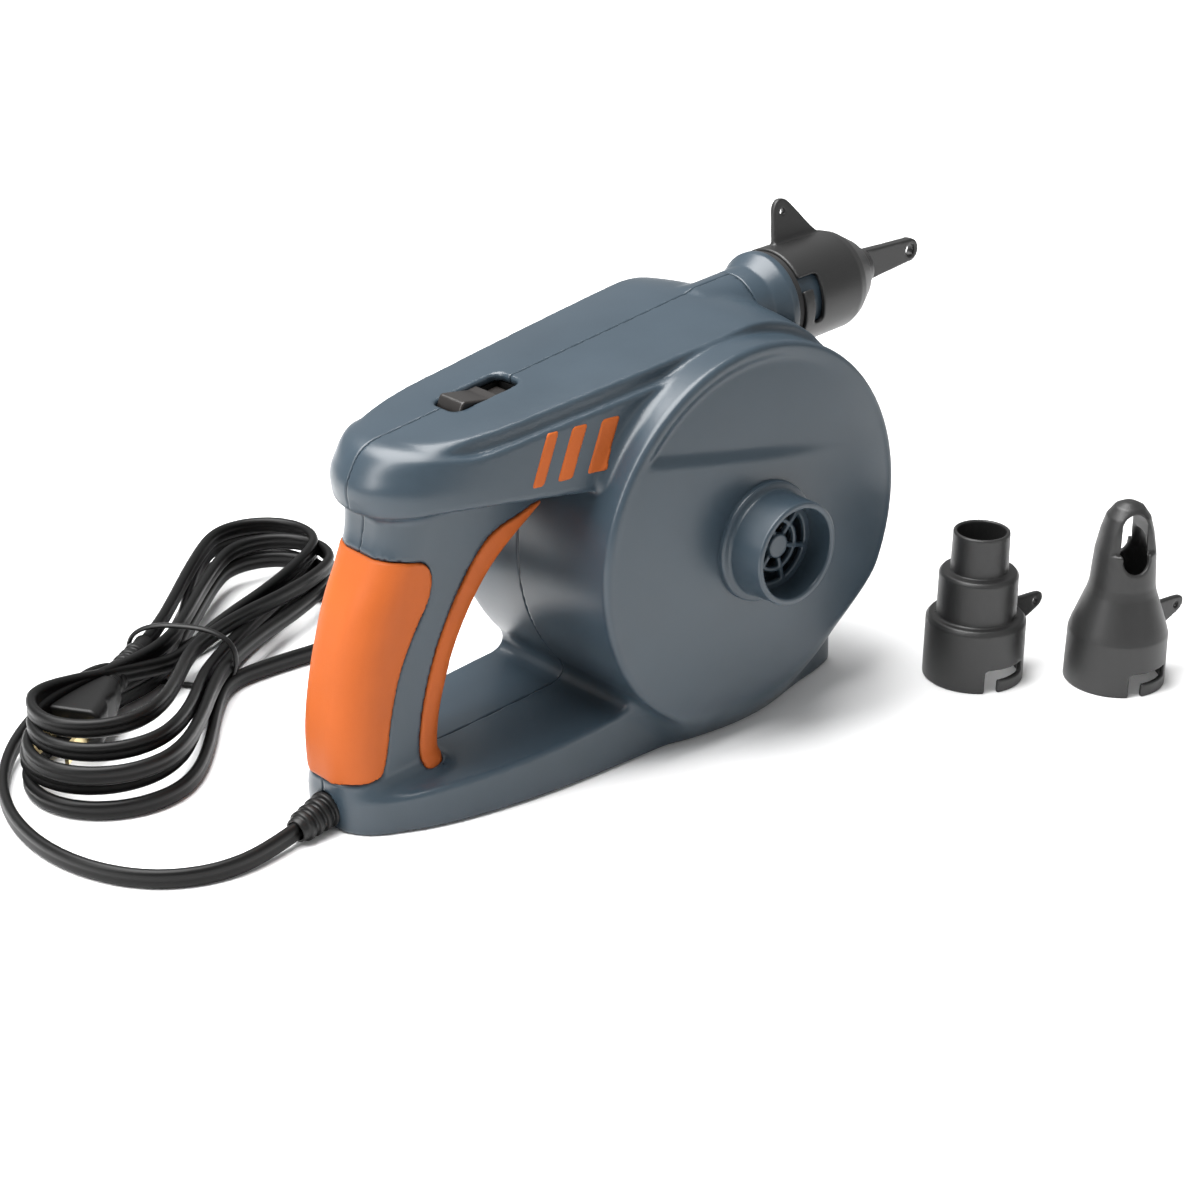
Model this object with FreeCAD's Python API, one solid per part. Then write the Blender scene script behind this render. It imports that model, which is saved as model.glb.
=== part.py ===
"""Electric air mattress pump: a mains centrifugal blower in a two-part moulded housing with a D-shaped handle.

The frame: +X runs from the grip to the air outlet, +Y is the left (motor) side, +Z is up. The origin is on
the surface that the pump stands on, straight below the fan's axis, in the plane where the two halves of the
housing meet. All sizes are in millimetres.
"""

import FreeCAD
import Part
import math
import os
from FreeCAD import Vector

# ---------------------------------------------------------------- driving dimensions
WALL = 2.2  # housing wall
INLAY = 1.0  # depth of the recesses for the orange pieces
PROUD = 0.5  # how far the orange pieces stand out of the housing

FAN_Z = 75.0  # height of the fan's axis
DRUM_R = 69.5  # drum that holds the fan and the motor
DRUM_RIGHT = -46.0  # rim of the drum's right face
DRUM_DOME = 4.0  # how far the right face is crowned
DRUM_LEFT = 40.0  # left face
RIM_RIGHT, RIM_LEFT = 3.0, 8.0  # rounding of the drum's rims

TOP_SLOPE = 8.4  # degrees that the arm's top climbs towards the drum
CREST_R = 45.0  # side-view radius of the hump over the drum
CREST_X, CREST_Z = 9.6, 105.1  # centre of that radius
CROWN_R = 190.0  # cross-section radius of the arm's top
STEP_H = 4.0  # the top panel stands this far above the shoulder round it
STEP_IN = 2.4  # and this far inside the side walls
ARM_Z = 107.0  # underside of the arm

OUTLET_TILT = 3.4  # degrees that the outlet points upwards
OUTLET_Z = 136.3  # height of its axis above the fan's axis
OUTLET_START, COLLAR_AT, COLLAR_END = 2.0, 38.0, 46.5  # along that axis, from the fan's axis
OUTLET_ROOT_R, OUTLET_NECK_R, COLLAR_R = 14.2, 15.4, 18.7
SPIGOT_R = 16.6
SPIGOT_END = 61.0
SEAL_END = 49.2
NOZZLE_AT = 49.5  # where the fitted nozzle's rim is
SCOOP_R = 19.3  # hollow in the drum's top that clears the collar and the nozzle
AIR_R = 12.6  # air way through the outlet
DUCT_R = 11.0  # end of the duct that feeds it

PORT_Y = -65.5  # rim of the inlet port
PORT_R = 18.5
PORT_BORE = 15.8
PORT_SEAT = -56.0  # inner end of the port's bore
GRILLE_FRONT = -55.4
GRILLE_R = 16.6

SOCKET_R = 16.9  # bore of a nozzle's socket
SOCKET_OUT = 18.7
SOCKET_DEEP = 14.0
MOUTH = 5.0  # width of the bayonet slot's mouth
LEG_LOW, LEG_HIGH = 4.8, 9.2  # the slot's cross leg, measured from the nozzle's rim
LEG_TURN = 42.0  # degrees
LUG_HALF_TURN = 6.5  # half the width of a bayonet lug, in degrees
LUG_IN_LEG = 8.0  # how far the fitted nozzle is turned from its free position
WING_AT = 110.0  # degrees from a slot's mouth to the finger wing
FITTED_MOUTH = 240.0  # where the fitted nozzle's mouth is, from straight up towards the right side

SWITCH_X = -86.0
SWITCH_LONG, SWITCH_WIDE = 28.4, 13.0
SWITCH_DEEP = 15.0
ROCKER_R = 13.3
ROCKER_TILT = 8.0

PIVOT_DEEP = 7.0  # the rocker's pivot below the arm's top

SHAFT_R = 2.5
FAN_R = 48.0
FAN_FRONT, FAN_BACK = -36.0, -14.0
CHAMBER_FRONT, CHAMBER_BACK = -42.0, -10.0
PLATE_FACE = -7.5
STATOR_R = 24.0
STATOR_FRONT, STATOR_BACK = 4.0, 22.0
BRACKET_BACK = 36.5
PLATE_POSTS = [(10, 62.5), (-60, 62.3), (160, 57.5)]  # angle about the fan's axis and radius
HOUSING_SCREWS = [(-132, 30), (-120, 119), (-60, 121), (-60, 10), (40, 10)]  # they join the halves
SCREW_POST_R = 4.6
SCREW_SEAT = 8.0  # how far from the joint plane the screws' heads sit

SPARE_STEPPED = (94.7, -67.7)  # where the two spare nozzles stand
SPARE_HOOKED = (131.7, -104.9)
SPARE_MOUTH = 242.0  # heading of a spare nozzle's slot

CORD_R = 3.3
CORD_ROUTE = [  # from the strain relief to the hank
    (-169.0, -4.5, 5.0), (-184.5, -8.3, 3.9), (-201.0, -7.5, 3.4), (-215.5, -0.5, 3.4), (-226.0, 11.5, 3.4),
    (-233.0, 28.0, 3.4), (-235.5, 47.0, 3.4), (-233.0, 68.0, 3.4), (-225.5, 88.0, 3.8), (-213.0, 105.0, 5.4),
    (-197.0, 117.5, 7.6), (-178.5, 126.0, 9.4), (-160.0, 132.5, 10.5),
]
LEAD_R = 1.0
SUPPLY_LEAD = [
    (-131.0, 1.8, 8.0), (-123.5, 2.2, 9.0), (-120.0, 3.0, 16.0), (-120.5, 4.0, 28.0), (-122.5, 4.0, 43.0),
    (-122.0, 4.0, 58.0), (-117.0, 4.0, 73.0), (-109.5, 3.5, 87.0), (-101.5, 2.5, 97.5), (-96.5, 1.0, 106.0),
]
MOTOR_LEAD = [
    (-72.0, 3.0, 110.5), (-66.0, 8.0, 111.5), (-56.0, 15.0, 112.5), (-42.0, 21.0, 112.0), (-26.0, 26.0, 109.0),
    (-12.0, 28.5, 104.5),
]
HANK_CENTRE = (-122.0, 132.0)
HANK_HEADING = 38.5  # degrees from +X
HANK_TOP = 31.0
HANK_OUTLINE = [  # along the hank and across it
    (-121, -18), (-104, -33), (-62, -34), (-22, -27), (10, -30), (36, -50), (52, -59), (66, -52), (78, -38),
    (104, -31), (126, -20), (134, 6), (122, 26), (84, 34), (26, 26), (-10, 25), (-60, 33), (-98, 31), (-116, 12),
]
TIE_AT = 2.0  # along the hank
PLUG_BACK = (-143.0, 128.0, 17.0)  # where the cord enters the plug
PLUG_TIP = (-208.0, 85.0, 11.5)
BLADES_END, PLUG_END = 17.0, 45.0  # from the blades' tips: the front and the back of the plug's body

X, Y, Z = Vector(1, 0, 0), Vector(0, 1, 0), Vector(0, 0, 1)
FAN = Vector(0, 0, FAN_Z)
SLOPE = math.radians(TOP_SLOPE)
TILT = math.radians(OUTLET_TILT)
OUT = Vector(math.cos(TILT), 0, math.sin(TILT))
OUT_UP = Vector(-math.sin(TILT), 0, math.cos(TILT))
NODES = {}


# ---------------------------------------------------------------- small helpers
def rod(radius, start, along, length):
    return Part.makeCylinder(radius, length, start, along)


def tube(outer, inner, start, along, length):
    return rod(outer, start, along, length).cut(rod(inner, start, along, length))


def block(x0, x1, y0, y1, z0, z1):
    return Part.makeBox(x1 - x0, y1 - y0, z1 - z0, Vector(x0, y0, z0))


def arc(a, b, c):
    return Part.Arc(a, b, c).toShape()


def line(a, b):
    return Part.LineSegment(a, b).toShape()


def polygon(points):
    return Part.Face(Part.makePolygon(list(points) + [points[0]]))


def prism_xz(points, y0, y1):
    """A prism along Y with the given outline of (x, z) points."""
    return polygon([Vector(x, y0, z) for x, z in points]).extrude(Vector(0, y1 - y0, 0))


def spun(points, centre, axis, side):
    """A solid of revolution: points are (radius, along), side is the direction of the radius."""
    face = polygon([centre + side * r + axis * a for r, a in points])
    return face.revolve(centre, axis, 360)


def curve_through(points, closed=False):
    spline = Part.BSplineCurve()
    spline.interpolate(points, PeriodicFlag=closed)
    return spline.toShape()


def joined(shapes):
    return shapes[0].fuse(list(shapes[1:])).removeSplitter()


def fan_rod(radius, y0, y1):
    return rod(radius, FAN + Y * y0, Y, y1 - y0)


def fan_tube(outer, inner, y0, y1):
    return tube(outer, inner, FAN + Y * y0, Y, y1 - y0)


def out_at(distance, up=0.0):
    """A point on the outlet's axis, or above it."""
    return Vector(0, 0, OUTLET_Z) + OUT * distance + OUT_UP * up


def framed(shape, origin, axis, side):
    """Move a shape from the origin's frame so that its Z lies along axis and its X along side."""
    turn = FreeCAD.Rotation(side, axis.cross(side), axis, "ZXY")
    moved = shape.copy()
    moved.Placement = FreeCAD.Placement(origin, turn).multiply(moved.Placement)
    return moved


def route(points):
    """Straight runs joined by tangent arcs, each as large as its two runs allow, with the radii."""
    edges, radii = [], []
    here = points[0]
    for before, corner, after in zip(points, points[1:], points[2:]):
        back, ahead = before - corner, after - corner
        shorter = min(back.Length, ahead.Length)
        back.normalize()
        ahead.normalize()
        turn = math.pi - back.getAngle(ahead)
        set_back = 0.45 * shorter
        radius = set_back / math.tan(turn / 2)
        radii.append(radius)
        start, end = corner + back * set_back, corner + ahead * set_back
        inward = back + ahead
        inward.normalize()
        middle = corner + inward * (radius / math.cos(turn / 2) - radius)
        edges.append(line(here, start))
        edges.append(arc(start, middle, end))
        here = end
    edges.append(line(here, points[-1]))
    return Part.Wire(edges), radii


def cable(points, radius):
    path, radii = route([Vector(*p) for p in points])
    first = path.Edges[0]
    heading = first.tangentAt(first.FirstParameter)
    section = Part.Wire(Part.makeCircle(radius, path.Edges[0].Vertexes[0].Point, heading))
    return path.makePipeShell([section], True, False), path.Length, radii


# ---------------------------------------------------------------- the housing's outer form, inset by t
def drum(t=0.0):
    """Round casing about the fan's axis, with a crowned right face."""
    right, left = DRUM_RIGHT + t, DRUM_LEFT - t
    crown = right - DRUM_DOME
    right_edge, left_edge = DRUM_R - RIM_RIGHT, DRUM_R - RIM_LEFT
    right_bend = (RIM_RIGHT - t) * math.sqrt(0.5)
    left_bend = (RIM_LEFT - t) * math.sqrt(0.5)
    right_c, left_c = DRUM_RIGHT + RIM_RIGHT, DRUM_LEFT - RIM_LEFT

    def at(r, y):
        return Vector(r, y, FAN_Z)

    profile = [
        line(at(0, crown), at(22, crown)),
        arc(at(22, crown), at(46, crown + 0.32 * DRUM_DOME), at(right_edge, right)),
        arc(at(right_edge, right), at(right_edge + right_bend, right_c - right_bend), at(DRUM_R - t, right_c)),
        line(at(DRUM_R - t, right_c), at(DRUM_R - t, left_c)),
        arc(at(DRUM_R - t, left_c), at(left_edge + left_bend, left_c + left_bend), at(left_edge, left)),
        line(at(left_edge, left), at(0, left)),
        line(at(0, left), at(0, crown)),
    ]
    return Part.Face(Part.Wire(profile)).revolve(FAN, Y, 360)


def arm_outline(z, rear, half, t):
    """Plan outline of the arm at height z: a blunt rounded nose that widens towards the drum."""
    spine = [(0.0, 0.0), (6.0, 0.52), (19.0, 0.84), (46.0, 0.97), (90.0, 1.08), (128.0, 1.2), (185.0, 1.24)]
    nose = [Vector(rear + t + dx * (1 - t / 60.0), -(half * w - t) if w else 0.0, z) for dx, w in spine]
    other = [Vector(p.x, -p.y, z) for p in reversed(nose[1:])]
    side = curve_through(other + nose)
    back = line(nose[-1], other[0])
    return Part.Wire([side, back])


def arm_walls(t=0.0):
    """The arm's side walls, far taller than the arm, for trimming to its top."""
    low = arm_outline(ARM_Z + t, -138.0, 30.5, t)
    wide = arm_outline(ARM_Z + 6.0, -141.0, 31.5, t)
    high = arm_outline(ARM_Z + 46.0, -106.0, 29.0, t)
    lower = Part.makeLoft([low, wide], True, True)
    upper = Part.makeLoft([wide, high], True, True)
    return lower.fuse(upper)


def under_top(t=0.0):
    """Everything below the arm's crowned top, which is straight over the arm and round over the drum."""
    along = Vector(math.cos(SLOPE), 0, math.sin(SLOPE))
    normal = Vector(-math.sin(SLOPE), 0, math.cos(SLOPE))
    centre = Vector(CREST_X, 0, CREST_Z)
    half = 60.0
    sag = CROWN_R - math.sqrt(CROWN_R**2 - half**2)
    top = centre + normal * (CREST_R - t)
    low = centre + normal * 1.0
    ends = [top - normal * sag - Y * half, top - normal * sag + Y * half]
    section = Part.Face(Part.Wire([
        arc(ends[0], top, ends[1]),
        line(ends[1], low + Y * half),
        line(low + Y * half, low - Y * half),
        line(low - Y * half, ends[0]),
    ]))
    straight = section.extrude(along * -175)
    bent = section.revolve(centre, Y, 80)
    below = block(-80, CREST_X + 2, -60, 60, ARM_Z - 40, ARM_Z + 12)
    return straight.fuse([bent, below])


def arm(t=0.0):
    walls = arm_walls(t)
    shoulder = walls.common(under_top(STEP_H + t))
    panel = arm_walls(t + STEP_IN).common(under_top(t))
    return shoulder.fuse(panel)


GRIP = [  # height, back, front, half width
    (4.0, -150.5, -111.0, 16.5),
    (20.0, -154.0, -114.5, 15.6),
    (40.0, -153.5, -111.0, 15.2),
    (60.0, -149.5, -103.5, 15.2),
    (78.0, -143.5, -92.5, 15.6),
    (93.0, -137.0, -79.0, 16.5),
    (110.0, -131.5, -64.0, 18.5),
]


def grip_section(z, rear, front, half, t):
    """A rounded section of the grip at height z, fuller at the back than at the fingers."""
    r0, r1, h = rear + t, front - t, half - t
    back, fore = min(12.5, half - 1.5) - t, 9.0 - t
    q = 1 - math.sqrt(0.5)

    def side(s):
        return [
            Vector(r0, s * (h - back), z),
            Vector(r0 + back * q, s * (h - back * q), z),
            Vector(r0 + back, s * h, z),
            Vector(r1 - fore, s * h, z),
            Vector(r1 - fore * q, s * (h - fore * q), z),
            Vector(r1, s * (h - fore), z),
        ]

    a, b = side(-1), side(1)
    return Part.Wire([
        arc(a[0], a[1], a[2]),
        line(a[2], a[3]),
        arc(a[3], a[4], a[5]),
        line(a[5], b[5]),
        arc(b[5], b[4], b[3]),
        line(b[3], b[2]),
        arc(b[2], b[1], b[0]),
        line(b[0], a[0]),
    ])


def grip(t=0.0):
    return Part.makeLoft([grip_section(z, r, f, h, t) for z, r, f, h in GRIP], True, False)


def base(t=0.0):
    """Foot of the pump: a wedge-shaped bar, wider under the drum than under the grip."""
    top = [(-152, 12.5), (-100, 15.5), (-45, 20.5), (68, 26.0)]
    profile = prism_xz([(-152, t)] + [(x, z - t) for x, z in top] + [(68, t)], -50, 50)
    corner = [(66 - t, 27), (40, 31.5), (12, 34.8), (-80, 34.8), (-122, 29.5), (-150.5 + t, 19)]
    right = [Vector(x, t - y, -1) for x, y in corner]
    outline = right + [Vector(p.x, -p.y, -1) for p in reversed(right)]
    plan = polygon(outline).extrude(Z * 40)
    upright = [e for e in plan.Edges if abs(e.tangentAt(e.FirstParameter).z) > 0.9]
    ends = [e for e in upright if abs(e.CenterOfMass.x + 45) > 100]
    return profile.common(plan.makeFillet(11 - t, ends))


def halves(shape):
    """The right and left parts of a shape, cut where the housing's halves meet."""
    right = shape.common(block(-300, 300, -200, 0, -20, 400))
    left = shape.common(block(-300, 300, 0, 200, -20, 400))
    return right, left


# ---------------------------------------------------------------- the housing's orange inlays
PAD_ZONE = [  # side view, as (x, z)
    (-180, 19), (-141, 20), (-138, 30), (-136, 42), (-131, 57), (-125, 70), (-120, 84), (-122, 92), (-180, 95),
]
STRIP_ZONE = [
    (-70, 97), (-91, 95), (-97, 91), (-103, 82), (-110, 70), (-117, 56), (-122, 40), (-125, 28), (-124, 20),
    (-120, 15), (-90, 15), (-70, 90),
]
BARS = [(-87.0, 4.6), (-75.5, 6.0), (-62.0, 7.6)]  # foot of each accent bar and its width
BAR_LOW, BAR_HIGH, BAR_LEAN = 112.5, 129.5, 5.6


def grip_inlay(zone):
    skin = grip(-PROUD).cut(grip(INLAY))
    return skin.common(prism_xz(zone, -40, 40)).cut(block(-200, 0, -60, 60, -10, 15.4))


def accent_bars():
    skin = arm_walls(-PROUD * 0.6).cut(arm_walls(INLAY))
    bars = []
    for foot, width in BARS:
        outline = [(foot, BAR_LOW), (foot + width, BAR_LOW), (foot + width + BAR_LEAN, BAR_HIGH),
                   (foot + BAR_LEAN, BAR_HIGH)]
        for y in (-60, 10):
            bars.append(skin.common(prism_xz(outline, y, y + 50)))
    return Part.makeCompound([s for bar in bars for s in bar.Solids])


# ---------------------------------------------------------------- inlet and outlet
def inlet_port():
    """The round port on the right face that a nozzle also fits, for sucking air out."""
    face = DRUM_RIGHT - DRUM_DOME
    ring = [(PORT_R + 3.2, face + WALL), (PORT_R + 3.2, face - 1.4), (PORT_R, face - 2.6), (PORT_R, PORT_Y + 1.2),
            (PORT_R - 1.2, PORT_Y), (PORT_BORE + 0.4, PORT_Y), (PORT_BORE, PORT_Y + 0.6), (PORT_BORE, PORT_SEAT),
            (GRILLE_R, PORT_SEAT), (GRILLE_R, GRILLE_FRONT + 2), (PORT_BORE - 2, GRILLE_FRONT + 2),
            (PORT_BORE - 2, face + WALL)]
    return spun(ring, FAN, Y, X)


def inlet_grille():
    front, back = GRILLE_FRONT, GRILLE_FRONT + 2
    holes = fan_tube(13.2, 4.6, front - 1, back + 1)
    bars = [fan_tube(9.6, 8.2, front, back)]
    for k in range(6):
        spoke = block(4, 14, front, back, -0.8, 0.8)
        spoke.translate(FAN)
        spoke.rotate(FAN, Y, 60 * k + 15)
        bars.append(spoke)
    hub = fan_rod(4.6, front, back + 1.2)
    return joined([fan_rod(GRILLE_R, front, back).cut(holes.cut(joined(bars))), hub])


def outlet_tube():
    profile = [(DUCT_R, OUTLET_START), (OUTLET_ROOT_R, OUTLET_START), (OUTLET_NECK_R, COLLAR_AT),
               (COLLAR_R - 0.4, COLLAR_AT + 4.5), (COLLAR_R, COLLAR_AT + 5.5), (COLLAR_R, COLLAR_END),
               (SPIGOT_R, COLLAR_END), (SPIGOT_R, SPIGOT_END - 1), (SPIGOT_R - 1, SPIGOT_END),
               (AIR_R + 0.8, SPIGOT_END), (AIR_R, OUTLET_START + 8), (DUCT_R, OUTLET_START + 8)]
    body = spun(profile, out_at(0), OUT, OUT_UP)
    lugs = []
    for at in (FITTED_MOUTH - 180, FITTED_MOUTH):
        lugs.append(lug(at + LUG_IN_LEG))
    return joined([body] + lugs)


def lug(turn):
    """A bayonet lug on the spigot, turn degrees from straight up towards the right side."""
    outer = SOCKET_OUT - 0.2
    width = 2 * outer * math.sin(math.radians(LUG_HALF_TURN))
    low = NOZZLE_AT + LEG_LOW + 0.4
    ring = tube(outer, SPIGOT_R - 1.5, out_at(low), OUT, LEG_HIGH - LEG_LOW - 0.8)
    slab = Part.makeBox(30, width, 30, Vector(0, -width / 2, 0))
    side = OUT_UP * math.cos(math.radians(turn)) - Y * math.sin(math.radians(turn))
    return ring.common(framed(slab, out_at(low - 5), OUT, side))


def duct_channel(grow):
    """The way from the scroll's mouth to the outlet tube, changing from oblong to round."""
    y0, y1, z0, z1 = -40.0 - grow, -13.0 + grow, 127.0 - grow, 138.5 + grow
    corners = ((y0, z0), (y1, z0), (y1, z1), (y0, z1), (y0, z0))
    oblong = Part.makePolygon([Vector(-16, y, z) for y, z in corners])
    radius = DUCT_R - 1.4 + grow
    ring = Part.Wire(Part.makeCircle(radius, out_at(OUTLET_START), OUT))
    return Part.makeLoft([oblong, ring], True, True).fuse(rod(radius, out_at(OUTLET_START), OUT, 5))


def outlet_duct():
    return duct_channel(1.4).cut(duct_channel(0.0))


def scroll():
    """The fan chamber's wall, which widens from its tongue round to the outlet duct."""
    def turn(radius0, radius1):
        points = []
        for k in range(13):
            a = math.radians(38 + 300 * k / 12)
            r = radius0 + (radius1 - radius0) * k / 12
            points.append(Vector(r * math.sin(a), CHAMBER_FRONT, FAN_Z + r * math.cos(a)))
        return points

    inner, outer = turn(53.5, 63.5), turn(55.3, 65.3)
    ends = [line(inner[-1], outer[-1]), line(outer[0], inner[0])]
    wire = Part.Wire([curve_through(inner), ends[0], curve_through(outer), ends[1]])
    return Part.Face(wire).extrude(Y * (CHAMBER_BACK - CHAMBER_FRONT))


# ---------------------------------------------------------------- the fan and the motor
def fan_wheel():
    hub = fan_tube(7, SHAFT_R, FAN_FRONT + 4, FAN_BACK)
    disc = fan_tube(FAN_R, SHAFT_R, FAN_BACK, FAN_BACK + 1.6)
    shroud = fan_tube(FAN_R, 22, FAN_FRONT - 1.4, FAN_FRONT)
    parts = [hub, disc, shroud]
    blades = 9
    for k in range(blades):
        a0 = 2 * math.pi * k / blades

        def at(r, lag):
            return Vector(r * math.sin(a0 - lag), FAN_FRONT, FAN_Z + r * math.cos(a0 - lag))

        curve = arc(at(19, 0.0), at(34, 0.42), at(FAN_R - 0.5, 0.95))
        strip = curve.extrude(Y * (FAN_BACK - FAN_FRONT))
        parts.append(strip.makeOffsetShape(0.7, 0.01, fill=True))
    return joined(parts)


def hexagon(across, y0, y1):
    points = [Vector(across / math.sqrt(3) * math.cos(math.pi * k / 3), y0,
                     FAN_Z + across / math.sqrt(3) * math.sin(math.pi * k / 3)) for k in range(6)]
    return polygon(points).extrude(Y * (y1 - y0))


def cooling_fan():
    parts = [fan_tube(6, SHAFT_R, -1.6, 1.2), fan_tube(18, 5, 0.2, 1.2)]
    for k in range(8):
        blade = block(5.5, 17.5, -1.6, 0.3, -0.5, 0.5)
        blade.translate(FAN)
        blade.rotate(FAN, Y, 45 * k)
        parts.append(blade)
    return joined(parts)


def stator():
    ring = fan_tube(STATOR_R, 20, STATOR_FRONT, STATOR_BACK)
    parts = [ring]
    for s in (-1, 1):
        x0, x1 = sorted((13.5 * s, 20.5 * s))
        neck = block(x0, x1, STATOR_FRONT, STATOR_BACK, FAN_Z - 5, FAN_Z + 5)
        x0, x1 = sorted((8.0 * s, 16.0 * s))
        shoe = fan_tube(15.4, 13.2, STATOR_FRONT, STATOR_BACK)
        parts += [neck, shoe.common(block(x0, x1, STATOR_FRONT, STATOR_BACK, FAN_Z - 10.5, FAN_Z + 10.5))]
    return joined(parts)


def field_coils():
    coils = []
    for s in (-1, 1):
        x0, x1 = sorted((15.6 * s, 19.6 * s))
        frame = block(x0, x1, STATOR_FRONT - 2.4, STATOR_BACK + 2.4, FAN_Z - 9, FAN_Z + 9)
        coil = frame.cut(block(x0 - 1, x1 + 1, STATOR_FRONT, STATOR_BACK, FAN_Z - 5, FAN_Z + 5))
        coils.append(coil.common(fan_tube(19.9, 15.5, 0, 30)))
    return Part.makeCompound(coils)


def armature_core():
    core = fan_tube(12.6, SHAFT_R, STATOR_FRONT, STATOR_BACK)
    slots = []
    for k in range(10):
        slot = block(8.0, 13.0, STATOR_FRONT - 1, STATOR_BACK + 1, -1.1, 1.1)
        slot.translate(FAN)
        slot.rotate(FAN, Y, 36 * k + 7)
        slots.append(slot)
    return core.cut(joined(slots))


def commutator():
    ring = fan_tube(7, SHAFT_R, 26, 31)
    slits = []
    for k in range(10):
        slit = block(5.8, 8.0, 25.5, 31.5, -0.25, 0.25)
        slit.translate(FAN)
        slit.rotate(FAN, Y, 36 * k)
        slits.append(slit)
    return ring.cut(joined(slits))


def motor_screw_at(angle, y0, y1, radius):
    a = math.radians(angle)
    return rod(radius, FAN + Vector(22.2 * math.cos(a), y0, 22.2 * math.sin(a)), Y, y1 - y0)


def motor():
    """All pieces of the motor, cut for its two through screws."""
    shafts = [motor_screw_at(a, -9.5, BRACKET_BACK, 1.3) for a in (45, 225)]
    heads = [motor_screw_at(a, BRACKET_BACK, BRACKET_BACK + 1.0, 2.4) for a in (45, 225)]
    screws = [s.fuse(h) for s, h in zip(shafts, heads)]

    front = joined([
        fan_tube(STATOR_R, 4, PLATE_FACE, PLATE_FACE + 2),
        fan_tube(STATOR_R, 21, PLATE_FACE + 2, STATOR_FRONT),
        fan_tube(6, 4, PLATE_FACE, -2),
    ])
    rear = joined([
        fan_tube(STATOR_R, 21, STATOR_BACK, 34),
        fan_tube(STATOR_R, 4, 34, BRACKET_BACK),
        fan_tube(6, 4, 32, BRACKET_BACK),
    ])
    holders, brushes = [], []
    for s in (-1, 1):
        z0, z1 = sorted((FAN_Z + 9.0 * s, FAN_Z + (STATOR_R + 1.5) * s))
        holder = block(-3.2, 3.2, 25.6, 31.4, z0, z1)
        way = block(-2.2, 2.2, 26.4, 30.6, z0, z1)
        holders.append(holder.cut(way))
        z0, z1 = sorted((FAN_Z + 7.4 * s, FAN_Z + 19.0 * s))
        brushes.append(block(-2.2, 2.2, 26.4, 30.6, z0, z1))
        rear = rear.cut(holder)
    NODES["stator_core"] = stator().cut(Part.makeCompound(shafts))
    NODES["field_coils"] = field_coils()
    NODES["front_bracket"] = front.cut(Part.makeCompound(shafts))
    NODES["rear_bracket"] = rear.cut(Part.makeCompound(shafts))
    NODES["front_bush"] = fan_tube(4, SHAFT_R + 0.05, PLATE_FACE, -2)
    NODES["rear_bush"] = fan_tube(4, SHAFT_R + 0.05, 32, BRACKET_BACK)
    NODES["brush_holders"] = Part.makeCompound(holders)
    NODES["carbon_brushes"] = Part.makeCompound(brushes)
    NODES["motor_screws"] = Part.makeCompound(screws)
    NODES["motor_shaft"] = fan_rod(SHAFT_R, FAN_FRONT, 36)
    NODES["armature_core"] = armature_core()
    NODES["armature_windings"] = Part.makeCompound([
        fan_tube(11, SHAFT_R, 1.6, STATOR_FRONT), fan_tube(11, SHAFT_R, STATOR_BACK, 25.4),
    ])
    NODES["commutator"] = commutator()
    NODES["cooling_fan"] = cooling_fan()
    NODES["fan_wheel"] = fan_wheel()
    NODES["fan_nut"] = hexagon(8, FAN_FRONT + 0.4, FAN_FRONT + 4).cut(fan_rod(SHAFT_R, FAN_FRONT, FAN_FRONT + 5))
    return Part.makeCompound(shafts)


# ---------------------------------------------------------------- the switch
def switch_frame(shape):
    """From the switch's own frame, with X along the arm and Z out of its top, to the part's."""
    along = Vector(math.cos(SLOPE), 0, math.sin(SLOPE))
    normal = Vector(-math.sin(SLOPE), 0, math.cos(SLOPE))
    reach = (SWITCH_X - CREST_X) / math.cos(SLOPE)
    top = Vector(CREST_X, 0, CREST_Z) + normal * CREST_R + along * (reach + CREST_R * math.tan(SLOPE))
    return framed(shape, top, normal, along)


def switch_opening():
    half_long, half_wide = SWITCH_LONG / 2, SWITCH_WIDE / 2
    slot = block(-half_long, half_long, -half_wide, half_wide, -8, 8)
    upright = [e for e in slot.Edges if abs(e.tangentAt(e.FirstParameter).z) > 0.9]
    return switch_frame(slot.makeFillet(1.5, upright))


def switch_body():
    half_long, half_wide = SWITCH_LONG / 2, SWITCH_WIDE / 2
    case = block(-half_long - 1.6, half_long + 1.6, -half_wide - 1.6, half_wide + 1.6, -3.4 - SWITCH_DEEP, -3.4)
    hollow = block(-half_long, half_long, -half_wide, half_wide, -2 - SWITCH_DEEP, 2)
    pin = rod(1.6, Vector(0, -half_wide - 1.6, -PIVOT_DEEP), Y, SWITCH_WIDE + 3.2)
    return switch_frame(case.cut(hollow.fuse(pin)))


def switch_terminals():
    blades = [block(x - 2.4, x + 2.4, -0.4, 0.4, -10.4 - SWITCH_DEEP, -3.4 - SWITCH_DEEP) for x in (-8, 8)]
    return switch_frame(Part.makeCompound(blades))


def rocker():
    """A rocker with a hollow V-shaped top and two stub pivots, resting with its rear half raised."""
    half_wide = SWITCH_WIDE / 2 - 0.35
    pivot = Vector(0, 0, -PIVOT_DEEP)
    disc = rod(ROCKER_R, pivot - Y * half_wide, Y, 2 * half_wide)
    rise = ROCKER_R * math.tan(math.radians(ROCKER_TILT))
    end = ROCKER_R + 1
    outline = [(-end, -1.2 + rise), (0, -1.2), (end, -1.2 + rise), (end, -11), (-end, -11)]
    body = disc.common(prism_xz(outline, -half_wide, half_wide))
    pins = rod(1.52, pivot - Y * (SWITCH_WIDE / 2 + 1.4), Y, SWITCH_WIDE + 2.8)
    whole = joined([body, pins])
    whole.rotate(pivot, Y, ROCKER_TILT)
    return switch_frame(whole)


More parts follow.
